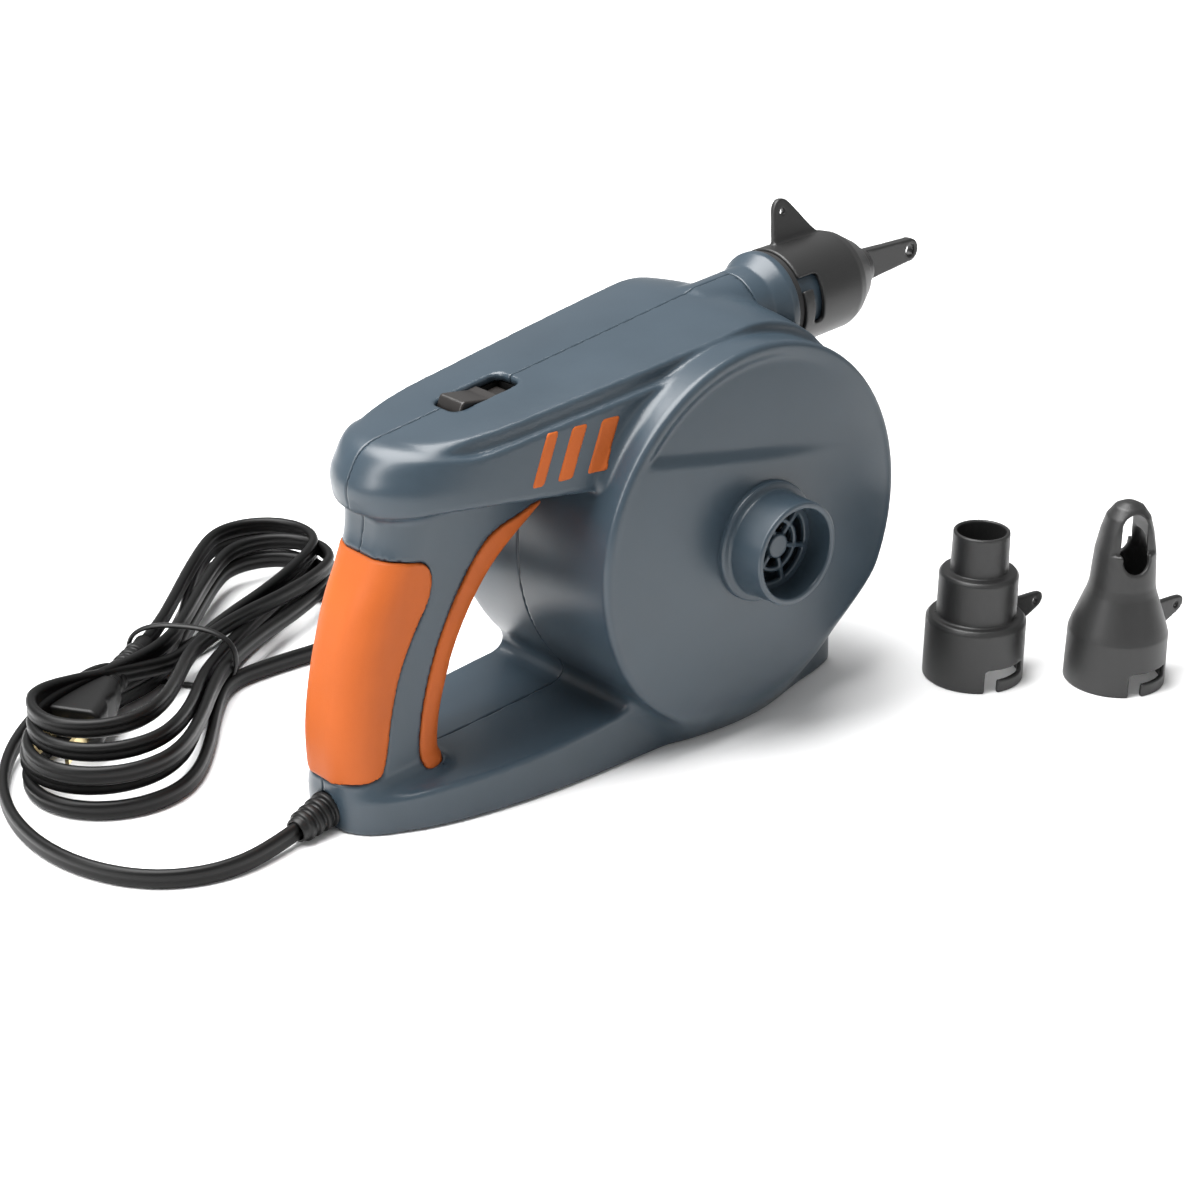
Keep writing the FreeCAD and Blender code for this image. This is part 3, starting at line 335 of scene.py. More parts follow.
def drawn_in(points, field, lines, rounds=3, step=0.02):
    """The points moved onto the field's zero surface, by less than the grid's narrowest gap."""
    most = 0.6 * min(np.diff(line).min() for line in lines)
    for _ in range(rounds):
        ahead = [field(*(points + nudge).T) for nudge in step * np.eye(3)]
        behind = [field(*(points - nudge).T) for nudge in step * np.eye(3)]
        slope = (np.stack(ahead, 1) - np.stack(behind, 1)) / (2 * step)
        move = slope * (field(*points.T) / np.maximum((slope**2).sum(1), 0.05))[:, None]
        far = np.linalg.norm(move, axis=1)
        points -= move * np.minimum(1, most / np.maximum(far, 1e-9))[:, None]
    return points


# ---------------------------------------------------------------- pieces
def placed(origin, axis, side):
    """The matrix that lays a piece's own Z along axis and its X along side."""
    turn = Matrix((side, axis.cross(side), axis)).transposed().to_4x4()
    return Matrix.Translation(origin) @ turn


def piece(name, points, faces, finish, body, slot, replaced=(), place=Matrix.Identity(4)):
    """A smooth-shaded mesh piece from points in millimetres, riding on a body."""
    turn = np.array(place)
    points = (np.asarray(points) @ turn[:3, :3].T + turn[:3, 3]) * MM
    mesh = bpy.data.meshes.new(name)
    if isinstance(faces, np.ndarray):
        mesh.vertices.add(len(points))
        mesh.vertices.foreach_set("co", points.ravel())
        mesh.loops.add(faces.size)
        mesh.loops.foreach_set("vertex_index", faces.ravel().astype(np.int32))
        mesh.polygons.add(len(faces))
        starts = np.arange(0, faces.size, faces.shape[1], dtype=np.int32)
        mesh.polygons.foreach_set("loop_start", starts)
    else:
        mesh.from_pydata(points.tolist(), [], faces)
    mesh.update(calc_edges=True)
    mesh.validate()
    mesh.shade_smooth()
    return shown(bpy.data.objects.new(name, mesh), finish, body, slot, replaced)


def shown(made, finish, body, slot, replaced=()):
    """The object put in the scene with its finish and body, standing for the nodes given. The slot is
    not used.
    """
    bpy.context.scene.collection.objects.link(made)
    made.data.materials.append(finish)
    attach(made, body)
    if replaced:
        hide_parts(*replaced)
    return made


def rounded(profile, radius, steps=4):
    """The (radius, height) profile of a closed ring with its corners rounded."""
    p = [np.array(q, float) for q in profile]
    out = []
    for before, corner, after in zip(p[-1:] + p[:-1], p, p[1:] + p[:1]):
        back, ahead = before - corner, after - corner
        r = min(radius, 0.45 * np.linalg.norm(back), 0.45 * np.linalg.norm(ahead))
        a, b = corner + back / np.linalg.norm(back) * r, corner + ahead / np.linalg.norm(ahead) * r
        for t in np.linspace(0, 1, steps):
            out.append((1 - t) ** 2 * a + 2 * t * (1 - t) * corner + t * t * b)
    return np.array(out)


def ring_mesh(profile, around=96):
    """A turned ring: its closed profile of (radius, height) swept about Z."""
    turn = np.arange(around) * 2 * math.pi / around
    r, z = profile[:, 0], profile[:, 1]
    x, y = np.outer(np.cos(turn), r), np.outer(np.sin(turn), r)
    points = np.stack([x, y, np.broadcast_to(z, x.shape)], -1).reshape(-1, 3)
    n = len(profile)
    k, j = np.meshgrid(np.arange(around), np.arange(n), indexing="ij")
    k1, j1 = (k + 1) % around, (j + 1) % n
    faces = np.stack([k * n + j, k1 * n + j, k1 * n + j1, k * n + j1], -1).reshape(-1, 4)
    area = np.sum(r * np.roll(z, -1) - np.roll(r, -1) * z)
    return points, faces if area > 0 else faces[:, ::-1]


# ---------------------------------------------------------------- the housing
# half outlines from above, from the grip's end to the outlet's
ARM_PLAN = [(-139.5, 0), (-138, 9), (-133.5, 17), (-126, 23.5), (-115, 28), (-100, 30.5),
            (-80, 32.2), (-60, 34.2), (-30, 36.8), (0, 38.6), (30, 39.5), (48, 37), (52, 20)]
BASE_PLAN = [(-150.5, 0), (-149.5, 10), (-144, 18), (-134, 24.5), (-118, 29.5), (-98, 33),
             (-75, 35), (-40, 35.5), (-5, 35.3), (18, 34.3), (38, 31.6), (54, 28), (63, 23.5), (66, 14)]


def mirrored(points):
    """A closed outline from the half that lies at positive second coordinates."""
    return list(points) + [(u, -v) for u, v in reversed(points) if v > 0]


arm_plan = outline(mirrored(ARM_PLAN))
base_plan = outline(mirrored(BASE_PLAN))

# the nose's lean and the grip's front, back and half width by height, and heights along the housing
nose_lean = through([(103, 3.4), (110, 1.2), (117, 0), (122.3, 1.9), (128.3, 5.2), (134.8, 9.4),
                     (140, 13)])
grip_back = through([(-6, -151), (4, -153), (19, -154.6), (30, -155), (45, -153.4), (63, -149.2),
                     (78, -143.9), (88, -138.6), (96, -134.9), (106, -133.2), (120, -133.5)])
grip_front = through([(-6, -113), (10, -114), (22, -115), (33, -113.8), (44, -110.8), (61, -103.6),
                      (74, -95.6), (82, -89.2), (90, -80.6), (97, -72), (106, -62), (116, -50)])
grip_half = through([(0, 17), (14, 15.8), (40, 15.2), (66, 15.2), (84, 16), (98, 17.6), (112, 19)])
arm_floor = through([(-142, 107.5), (-132, 109.2), (-116, 110.4), (-100, 109.4), (-83, 107.6),
                     (-50, 104.0), (0, 100)])
base_top = through([(-156, 11.5), (-125, 14.6), (-100, 15.8), (-70, 18.2), (-45, 20.6), (0, 23.2),
                    (68, 26.2)])

# the orange pad's and strip's outlines from the side
pad_zone = outline([(-170, 20.5), (-152, 18.8), (-143, 19.6), (-140.4, 22), (-138.6, 28),
                    (-136.4, 40), (-132.4, 54), (-126.6, 66), (-120.8, 76), (-118.8, 83.5),
                    (-120.4, 89), (-125, 92), (-140, 93.6), (-170, 95)], pitch=0.5, reach=12)
strip_zone = outline([(-73, 99.5), (-84, 97.2), (-92, 94.6), (-98, 90), (-104, 81.5), (-111, 70),
                      (-117.5, 56), (-122.4, 41), (-124.8, 28), (-124.6, 19.5), (-121, 14.6),
                      (-112, 12), (-100, 25), (-92, 50), (-80, 72), (-66, 88)], pitch=0.5, reach=12)


def drum_field(x, y, z):
    """The round casing: a crowned right face, its rim crisp but softer low down in front."""
    r = np.hypot(x, z - FAN_Z)
    above_crease = ease((z - CREASE_Z + CREASE_SLOPE * x) / 5.0)
    within, fading = ease((CRESCENT_R - r) / 4.0), 1 - ease((x + 8) / 55.0)
    crescent = CRESCENT_DEEP * above_crease * within * fading
    crown = DOME * np.clip(1 - (r / DOME_R) ** 2, 0, 1)
    face = DRUM_RIGHT - crown + crescent - y
    edge = 2.0 + 9.0 * ease((x + 40.0) / 26.0) * ease((48.0 - z) / 24.0)
    body = cut(r - DRUM_R, face * 0.98, edge)
    return cut(body, y - DRUM_LEFT, LEFT_EDGE)


def top_field(x, y, z):
    """Below the arm's crowned top: straight over the arm, round over the drum."""
    dx, dz = x - CREST_X, z - CREST_Z
    along = dx * ALONG.x + dz * ALONG.z
    above = dx * ABOVE.x + dz * ABOVE.z
    high = np.where(along < 0, above, np.hypot(along, above) * np.sign(above))
    return high - CREST_R + y * y / (2 * CROWN_R)


def arm_field(x, y, z):
    """The arm: leaning walls, a shoulder, and the lighter raised panel that the switch sits in."""
    at_nose = 1 - ease((x + 126) / 42.0)
    eased = 1 - at_nose * (0.15 + 0.25 * ease((z - 118.0) / 10.0))
    walls = (arm_plan(x - nose_lean(z) * at_nose, y) + ARM_LEAN * (z - ARM_LEAN_Z)) * eased
    high = top_field(x, y, z)
    stepped = ease((x + 129) / 24.0)
    shoulder = cut(walls, high + STEP_HIGH * stepped, 0.6 + 2.2 * (1 - stepped))
    panel = cut(walls + STEP_IN * stepped, high, 0.9 + 3.6 * (1 - stepped))
    whole = join(shoulder, panel, 0.7)
    return cut(whole, arm_floor(x) - z, EDGE)


def grip_field(x, y, z):
    """The grip: full and round at the palm, tighter at the fingers."""
    # front and back slope, so a step along X is longer than the distance: the factors shorten it
    side = np.abs(y) - grip_half(z)
    back = (grip_back(z) - x) * 0.96
    front = (x - grip_front(z)) * np.where(z > 50, 0.86, 0.97)
    body = cut(cut(side, back, 12.0), front, 7.5)
    return cut(body, z - GRIP_TOP)


def base_field(x, y, z):
    """The base, its walls leaning in a little towards its top."""
    body = cut(base_plan(x, y) + BASE_LEAN * z, z - base_top(x), EDGE)
    return cut(body, -z, EDGE)


def form(x, y, z):
    """The whole housing as if solid, its parts joined by fillets that change along the joins."""
    at_bars = ease((z - 104.0) / 6.0) * (1 - ease((z - 127.0) / 11.0))
    drum_and_arm = join(drum_field(x, y, z), arm_field(x, y, z), 1.4 + 2.8 * at_bars)
    along, from_axis = outlet_frame(x, y, z)
    neck = cut(from_axis - NECK_R - NECK_TAPER * along, along - NECK_END)
    drum_and_arm = join(drum_and_arm, cut(neck, NECK_START - along, 5.0), 1.5)
    grip_and_base = join(grip_field(x, y, z), base_field(x, y, z), 7.0)
    low, under_drum = ease((75.0 - z) / 20.0), ease((x + 46.0) / 24.0) * ease((62.0 - z) / 20.0)
    return cut(join(drum_and_arm, grip_and_base, 4.5 + 4.5 * low + 7.0 * under_drum), -z, EDGE)


def outlet_frame(x, y, z):
    """Distance along the outlet's axis, and distance from it."""
    dz = z - OUTLET_Z
    along = x * OUT.x + dz * OUT.z
    return along, np.hypot(y, dz * OUT_UP.z + x * OUT_UP.x)


def switch_frame(x, z):
    """Place in the switch's frame: along the arm, and above its top."""
    dx, dz = x - SWITCH_TOP.x, z - SWITCH_TOP.z
    return dx * ALONG.x + dz * ALONG.z, dx * ABOVE.x + dz * ABOVE.z


SWITCH_ALONG = (SWITCH_X - CREST_X) / math.cos(SLOPE) + CREST_R * math.tan(SLOPE)
SWITCH_TOP = Vector((CREST_X, 0, CREST_Z)) + ABOVE * CREST_R + ALONG * SWITCH_ALONG


def bar_zone(x, z):
    """The three slanted bars on the arm's side, seen from the side."""
    lean = (z - BAR_LOW) / (BAR_HIGH - BAR_LOW) * BAR_LEAN
    upright = np.abs(z - (BAR_LOW + BAR_HIGH) / 2) - (BAR_HIGH - BAR_LOW) / 2
    across = [np.abs(x - foot - width / 2 - lean) - width / 2 for foot, width in BARS]
    return np.minimum.reduce([cut(bar, upright, 1.2) for bar in across])


def housing_field(x, y, z):
    """The hollow housing with its openings: outlet, inlet, switch, inlays and the cord's gland."""
    solid = form(x, y, z)
    shell = cut(solid, -solid - WALL)
    along, from_axis = outlet_frame(x, y, z)
    scoop = cut(from_axis - SCOOP_R, SCOOP_START - along)
    shell = cut(shell, -scoop, 0.8)
    shell = np.minimum(shell, cut(cut(scoop - WALL, -scoop), solid))
    shell = cut(shell, -cut(from_axis - THROAT_R, THROAT_START - along))
    inlet = cut(np.hypot(x, z - FAN_Z) - PORT_IN, y + 40.0)
    shell = cut(shell, -inlet)
    lengthwise, up = switch_frame(x, z)
    slot = cut(np.abs(lengthwise) - SWITCH_LONG / 2, np.abs(y) - SWITCH_WIDE / 2, 3.6)
    shell = cut(shell, -cut(slot, -up - SWITCH_DEEP), 0.9)
    near_grip = grip_field(x, y, z) - NEAR_GRIP
    for zone in (pad_zone, strip_zone):
        shell = cut(shell, -cut(zone(x, z) - INLAY_GAP, near_grip), 0.55)
    run = x - RELIEF_START.x
    gland = np.hypot(y - GLAND_ASIDE * run, z - RELIEF_START.z - GLAND_DOWN * run) - GLAND_R
    return cut(shell, -cut(gland, x + 140.0))


def half_field(side):
    """One half of the housing, its edge at the seam eased off."""
    return lambda x, y, z: cut(housing_field(x, y, z), side * y + 0.02, 0.28)


def make_housing():
    """The two halves, each from its own grid up to the seam."""
    xs, zs = span(-158, 73, PITCH), span(-2, 157, PITCH)
    for name, side, reach_y in (("right_half", 1, 55.0), ("left_half", -1, 48.0)):
        away = np.concatenate([[-0.6], SEAM_LINES, span(2.3, reach_y, PITCH)])
        ys = -away[::-1] if side > 0 else away
        points, faces = surface(half_field(side), (xs, ys, zs))
        node = "shell_right" if side > 0 else "shell_left"
        piece("housing_" + name, points, faces, SLATE, "housing", "housing", [node])


def make_inlays():
    """The orange pad and strip, set in the grip, and the bars on the arm, all a little proud."""
    def layer(x, y, z, proud):
        skin = form(x, y, z)
        return cut(skin - proud, -skin - INLAY_DEEP, 0.3)

    def on_grip(zone):
        def field(x, y, z):
            near_grip = cut(grip_field(x, y, z) - NEAR_GRIP, zone(x, z), 0.7)
            return cut(layer(x, y, z, PAD_PROUD), near_grip, 0.3)
        return field

    def on_arm(x, y, z):
        bars = cut(layer(x, y, z, BAR_PROUD), bar_zone(x, z), 0.6)
        return cut(bars, 12.0 - np.abs(y))

    pitch = 0.9
    ys = span(-23.0, 23.0, pitch)
    points, faces = surface(on_grip(pad_zone), (span(-158, -112, pitch), ys, span(15, 98, pitch)))
    piece("rear_grip_pad_cover", points, faces, ORANGE, "housing", "accent", ["rear_grip_pad"])
    points, faces = surface(on_grip(strip_zone), (span(-128, -62, pitch), ys, span(9, 103, pitch)))
    piece("inner_grip_strip_cover", points, faces, ORANGE, "housing", "accent",
          ["inner_grip_strip"])
    lines = (span(-92, -48, 0.55), span(-42, 42, 0.7), span(110, 132, 0.55))
    points, faces = surface(on_arm, lines)
    piece("accent_bar_set", points, faces, ORANGE, "housing", "accent", ["accent_bars"])


# ---------------------------------------------------------------- ports
PORT_PLACE = placed(Vector((0, 0, FAN_Z)), -Y_AXIS, Vector((1, 0, 0)))
OUTLET_PLACE = placed(Vector((0, 0, OUTLET_Z)), OUT, OUT_UP)


def grille_field(x, y, z):
    """The inlet's grille: six spokes, a ring and a hub."""
    r, a = np.hypot(x, y), np.arctan2(y, x)
    plate = cut(r - GRILLE_R, np.abs(z - GRILLE_AT) - 1.0)
    holes = np.maximum(r - 13.4, HUB_R - r)
    spokes = r * np.abs(np.sin(3 * a + math.radians(45))) / 3.0 - 0.9
    ring = np.abs(r - 8.9) - 0.8
    plate = cut(plate, -cut(holes, -np.minimum(spokes, ring), 0.5), 0.5)
    hub = cut(r - HUB_R, np.abs(z - GRILLE_AT - 0.5) - 1.5, 0.6)
    return join(plate, hub, 0.5)


def make_ports():
    """The inlet's collar and grille, and the outlet tube with its flared collar and spigot."""
    collar = rounded([(PORT_IN, PORT_START), (21.9, PORT_START), (21.7, 51.2),
                      (PORT_OUT + 0.4, 51.7), (PORT_OUT, PORT_END), (PORT_IN + 0.3, PORT_END)], 0.9)
    piece("inlet_collar", *ring_mesh(collar, 128), SLATE, "housing", "housing", place=PORT_PLACE)
    lines = (span(-17, 17, 0.5), span(-17, 17, 0.5), span(52.6, 57.4, 0.4))
    piece("inlet_grille_disc", *surface(grille_field, lines), SLATE, "housing", "housing",
          ["inlet_grille"], PORT_PLACE)

    root = [(THROAT_R, NECK_END - 4), (13.6, NECK_END - 4), (14.0, NECK_END),
            (15.05, NECK_END + 0.2)]
    flare = [(15.3, 37.6), (18.1, 42.4), (18.8, 43.6), (18.8, 46.4)]
    spigot = [(16.6, 46.6), (16.6, 60.2), (15.8, 61), (13.4, 61), (THROAT_R, 56)]
    tube = rounded(root + flare + spigot, 0.7)
    piece("outlet_tube_turned", *ring_mesh(tube, 128), SLATE, "housing", "housing",
          ["outlet_tube"], OUTLET_PLACE)


# ---------------------------------------------------------------- the switch
SWITCH_PLACE = placed(SWITCH_TOP, ABOVE, ALONG)


def rocker_field(x, y, z):
    """The rocker about its pivot, tipped back, with a top that steps down in front."""
    c, s, up = math.cos(ROCKER_TILT), math.sin(ROCKER_TILT), z + PIVOT_DEEP
    a, b = x * c - up * s, x * s + up * c
    step_down = 3.4 * ease((a - 3.4) / 1.6)
    roof = b - (PIVOT_DEEP - 1.2) - np.abs(a) * math.tan(ROCKER_TILT) + step_down
    body = cut(np.hypot(a, b) - ROCKER_R, roof * 0.99, 0.9)
    body = cut(body, -4.0 - b)
    return cut(body, np.abs(y) - ROCKER_HALF, 0.7)


def make_switch():
    """The rocker's cap, in its opening."""
    lines = (span(-15, 15, 0.5), span(-7, 7, 0.5), span(-13, 4, 0.5))
    piece("rocker_cap", *surface(rocker_field, lines), ROCKER_PLASTIC, "rocker", "black_plastic",
          ["rocker"], SWITCH_PLACE)


# ---------------------------------------------------------------- nozzles, Z from rim to tip
def turned(x, y, angle):
    """Place in axes turned about Z by an angle."""
    c, s = math.cos(angle), math.sin(angle)
    return x * c + y * s, -x * s + y * c


def bayonet(x, y, z):
    """The two L-shaped slots in a socket."""
    a, r = np.arctan2(y, x), np.hypot(x, y)
    slots = []
    for turn in (0.0, math.pi):
        b = (a - turn + math.pi) % (2 * math.pi) - math.pi
        mouth = cut(r * np.abs(b) - SLOT_HALF, z - SLOT_Z)
        along = r * np.abs(b - SLOT_TURN) - SLOT_HALF - r * SLOT_TURN
        slots.append(np.minimum(mouth, cut(along, np.abs(z - SLOT_Z) - 2.2, 1.6)))
    return cut(np.minimum(*slots), 14.0 - r)


def wing(x, y, z, side_view, hole):
    """A flat finger wing with an eye, standing out from the socket."""
    r, across = turned(x, y, WING_TURN)
    plate = cut(side_view(r, z), np.abs(across) - WING_HALF, 0.5)
    return cut(plate, EYE_R - np.hypot(r - hole[0], z - hole[1]), 0.3)


# each wing's side view, as (radius, height), and its eye's place
SPARE_WING = (outline([(12, 14), (18.5, 13.6), (24, 16.6), (29.4, 19.4), (32, 21.6), (32.2, 24.4),
                       (30, 25.8), (20, 25.9), (12, 25.8)], pitch=0.5, reach=8), (28.6, 22.6))
FITTED_WING = (outline([(12, 5.5), (18.5, 5.2), (27, 6.6), (31.6, 7.6), (34, 10), (33.4, 13.6),
                        (29, 17.8), (22.5, 23.2), (17, 28), (12, 28)], pitch=0.5, reach=8),
               (29.4, 11.2))


def turned_field(knots):
    """A solid of revolution's field from (height, radius) knots."""
    return lambda r, z: (r - np.interp(z, *np.array(knots, float).T)) * 0.92


def nozzle(outer, inner, top, wing_and_eye, extra=None, trim=None):
    """A nozzle's field: a turned shell with a wing and a bayonet, then added to or trimmed."""
    def field(x, y, z):
        r = np.hypot(x, y)
        body = cut(cut(outer(r, z), z - top, 0.6), -z, 0.5)
        body = join(body, wing(x, y, z, *wing_and_eye), 1.2)
        body = cut(body, -inner(r, z), 0.5)
        if extra:
            body = join(body, extra(x, y, z), 1.0)
        if trim:
            body = cut(body, -trim(x, y, z), 0.8)
        return cut(body, -bayonet(x, y, z), 0.4)

    return field


def blade(x, y, z):
    """The needle nozzle's flat tip, with its ring and eye, square to the floor when fitted."""
    u, v = turned(x, y, -FITTED_TURN)
    wide = 6.2 - 1.9 * np.clip((z - 47) / 26.0, 0, 1)
    flat = cut(np.abs(u) - wide, np.maximum(z - BLADE_END, 41.0 - z))
    flat = np.minimum(flat, np.hypot(u, z - BLADE_END) - 4.4)
    whole = cut(flat, np.abs(v) - 1.9, 0.6)
    return cut(whole, 2.3 - np.hypot(u, z - BLADE_END), 0.5)


def arch_gate(x, y, z):
    """The gap under the hooked nozzle's arch, and the flats either side of it."""
    above, below = np.hypot(y, z - GATE_HIGH), np.hypot(y, z - GATE_LOW)
    gate = np.where(z > GATE_HIGH, above, np.where(z < GATE_LOW, below, np.abs(y))) - GATE_HALF
    flats = cut(7.0 - np.abs(x), 53.0 - z, 0.0)
    return join(gate, flats)


def make_nozzles():
    """The needle nozzle on the outlet, and the stepped and hooked ones standing on the floor."""
    pitch = 0.62
    across = span(-34, 34, pitch)
    needle = nozzle(
        turned_field([(0, SOCKET_OUT), (29, 18.3), (32.5, 17.1), (40.5, 12.2), (44.5, 8.4),
                      (48, 6.9)]),
        turned_field([(0, SOCKET_IN), (14, SOCKET_IN), (29, 15.2), (45, 5.4), (49, 5.0)]),
        48.0, FITTED_WING, extra=blade)
    stepped = nozzle(
        turned_field([(0, SOCKET_OUT), (23, 18.6), (24.6, 17.4), (25.0, 14.75), (41, 14.7),
                      (42.2, 13.8), (42.7, 10.7), (58, 10.45)]),
        turned_field([(0, SOCKET_IN), (21.5, SOCKET_IN), (23.5, 12.9), (40.0, 12.9), (41.4, 9.1),
                      (60, 9.0)]),
        58.0, SPARE_WING)
    hooked = nozzle(
        turned_field([(0, SOCKET_OUT), (20, 18.4), (23, 17.5), (36, 12.8), (39, 12.1), (52, 11.2),
                      (60, 9.7), (65.5, 8.1), (69.2, 5.4), (70.8, 2.4), (71.2, 0.5)]),
        turned_field([(0, SOCKET_IN), (18.5, SOCKET_IN), (22, 16.1), (35, 11.2), (50, 9.2),
                      (59, 6.6), (61, 0.1)]),
        71.0, SPARE_WING, trim=arch_gate)

    mouth = Vector((0, 0, OUTLET_Z)) + OUT * NOZZLE_AT
    fitted = placed(mouth, OUT, OUT_UP * math.cos(FITTED_TURN) - Y_AXIS * math.sin(FITTED_TURN))
    points, faces = surface(needle, (across, across, span(-1.2, 79, pitch)))
    piece("needle_nozzle_shell", points, faces, CHARCOAL, "fitted_nozzle", "nozzle",
          ["needle_nozzle"], fitted)
    side = Vector((math.cos(SPARE_TURN), math.sin(SPARE_TURN), 0))
    for kind, field, top, spot in (
        ("stepped", stepped, 59.5, SPARE_STEPPED),
        ("hooked", hooked, 72.5, SPARE_HOOKED),
    ):
        points, faces = surface(field, (across, across, span(-1.2, top, pitch)))
        piece(kind + "_nozzle_shell", points, faces, CHARCOAL, "spare_" + kind, "nozzle",
              [kind + "_nozzle"], placed(Vector((*spot, 0)), Z_AXIS, side))


# ---------------------------------------------------------------- the mains cord
CORD_WIDE, CORD_THICK = 6.8, 3.7
ROUTE = [
    (-169.0, -4.5, 5.0), (-184.5, -8.3, 3.9), (-201.0, -7.5, 3.4), (-215.5, -0.5, 3.4),
    (-226.0, 11.5, 3.4), (-233.0, 28.0, 3.4), (-235.5, 47.0, 3.4), (-233.0, 68.0, 3.4),
    (-225.5, 88.0, 3.8), (-213.0, 105.0, 5.4), (-197.0, 117.5, 7.6), (-178.5, 126.0, 9.4),
    (-160.0, 132.5, 10.5),
]
PLUG_BACK, PLUG_TIP = Vector((-143.0, 128.0, 17.0)), Vector((-208.0, 85.0, 11.5))

# The hank, along its own heading: each end of a turn as (reach, middle across, half width, height),
# the strands under the tie as (across, height), and the one loop beside the hank.
HANK_CENTRE, HANK_HEADING = (-122.0, 132.0), math.radians(38.5)
TIE_AT, TIE_ACROSS, TIE_Z = -18.0, -4.0, 13.0
TIE_HALF_WIDE, TIE_HALF_HIGH, TIE_WIDE, TIE_THICK = 20.6, 12.0, 3.0, 1.8
FRONT_ENDS = [(97, -5, 22.6, 4.0), (84, -14, 22.2, 8.6), (99, -4, 22.6, 11.4),
              (86, -15, 22.2, 15.8), (95, -6, 22.2, 18.4)]
REAR_ENDS = [(-119, -3, 30, 3.6), (-113, 1, 28, 9.4), (-117, -2, 28, 15.6), (-110, 0, 26, 20.6),
             (-104, 4, 23, 26.0)]
FAR_AT_TIE = [(14, 3.8), (9.5, 3.8), (5, 3.8), (3, 10.8), (1, 18), (-3, 11)]
NEAR_AT_TIE = [(-21, 3.8), (-16, 3.8), (-21, 10.8), (-16, 11.0), (-10, 17.5), (9, 17.2)]
SIDE_LOOP = [(10, -2, 5.5), (31, -8, 4.6), (50, -16, 4.0), (65, -30, 3.8), (67, -49, 3.8),
             (53, -64, 3.8), (33, -64, 3.8), (15, -49, 3.8), (0, -35, 3.8)]


def in_hank(along, across, z):
    """A place in the hank's own axes, in the frame's."""
    c, s = math.cos(HANK_HEADING), math.sin(HANK_HEADING)
    return (HANK_CENTRE[0] + along * c - across * s, HANK_CENTRE[1] + along * s + across * c, z)


def hank_end(start, end, finish):
    """One end of a turn, out from the tie, round and back, as (along, across, height) points."""
    far, centre, half, high = end
    way = 1 if far > 0 else -1
    turn = 1 if start[0] > finish[0] else -1
    shoulder = far - way * half

    def leg(at_tie, edge, share):
        bow = share * share * (3 - 2 * share)
        return (TIE_AT + (shoulder - TIE_AT) * share, at_tie[0] + (edge - at_tie[0]) * bow,
                at_tie[1] + (high - at_tie[1]) * share)

    points = [leg(start, centre + turn * half, share) for share in (0.3, 0.68)]
    for a in (math.radians(90 - 30 * k) for k in range(7)):
        around = (shoulder + way * half * math.cos(a), centre + turn * half * math.sin(a))
        points.append((*around, high))
    return points + [leg(finish, centre - turn * half, share) for share in (0.68, 0.3)]


def hank_points():
    """The turns of the hank: far side, front end, near side, rear end, and so on until the plug."""
    points = [(TIE_AT, *FAR_AT_TIE[0])] + SIDE_LOOP + [(TIE_AT, *NEAR_AT_TIE[0])]
    for k, (rear, front) in enumerate(zip(REAR_ENDS, FRONT_ENDS)):
        points += hank_end(NEAR_AT_TIE[k], rear, FAR_AT_TIE[k + 1])
        points.append((TIE_AT, *FAR_AT_TIE[k + 1]))
        points += hank_end(FAR_AT_TIE[k + 1], front, NEAR_AT_TIE[k + 1])
        if k < 4:
            points.append((TIE_AT, *NEAR_AT_TIE[k + 1]))
    return [in_hank(*p) for p in points]


def cord_section():
    """The cord's twin-lobed section, standing on edge, as a closed curve for bevelling."""
    lobe, waist = CORD_THICK / 2, 0.78 * CORD_THICK / 2
    apart = CORD_WIDE / 2 - lobe
    round_lobe = np.radians([-35, 0, 35, 70, 110, 145, 180, 215])
    half = [(lobe * math.cos(a), apart + lobe * math.sin(a)) for a in round_lobe]
    ring = half + [(-waist, 0)] + [(-u, -v) for u, v in half] + [(waist, 0)]
    curve = bpy.data.curves.new("cord_section", "CURVE")
    curve.dimensions = "2D"
    spline = curve.splines.new("POLY")
    spline.points.add(len(ring) - 1)
    for spot, (u, v) in zip(spline.points, ring):
        spot.co = (u * MM, v * MM, 0, 1)
    spline.use_cyclic_u = True
    section = bpy.data.objects.new("cord_section", curve)
    bpy.context.scene.collection.objects.link(section)
    section.hide_render = True
    return section


def make_cord():
    """The whole cord, from the strain relief round the hank to the plug, on one spline."""
    inward = (PLUG_TIP - PLUG_BACK).normalized()
    at_plug = [tuple(PLUG_BACK - inward * 8.0), tuple(PLUG_BACK + inward * 2.0)]
    points = ROUTE + hank_points() + at_plug
    curve = bpy.data.curves.new("mains_cord", "CURVE")
    curve.dimensions = "3D"
    curve.twist_mode = "Z_UP"
    curve.resolution_u = 8
    spline = curve.splines.new("NURBS")
    spline.points.add(len(points) - 1)
    for spot, (x, y, z) in zip(spline.points, points):
        spot.co = (x * MM, y * MM, z * MM, 1)
    spline.order_u = 3
    spline.use_endpoint_u = True
    section = cord_section()
    section.data.materials.append(CORD_VINYL)
    curve.bevel_mode = "OBJECT"
    curve.bevel_object = section
    curve.use_fill_caps = True
    made = bpy.data.objects.new("mains_cord", curve)
    return shown(made, CORD_VINYL, "housing", "cord", ["power_cord", "cord_hank"])


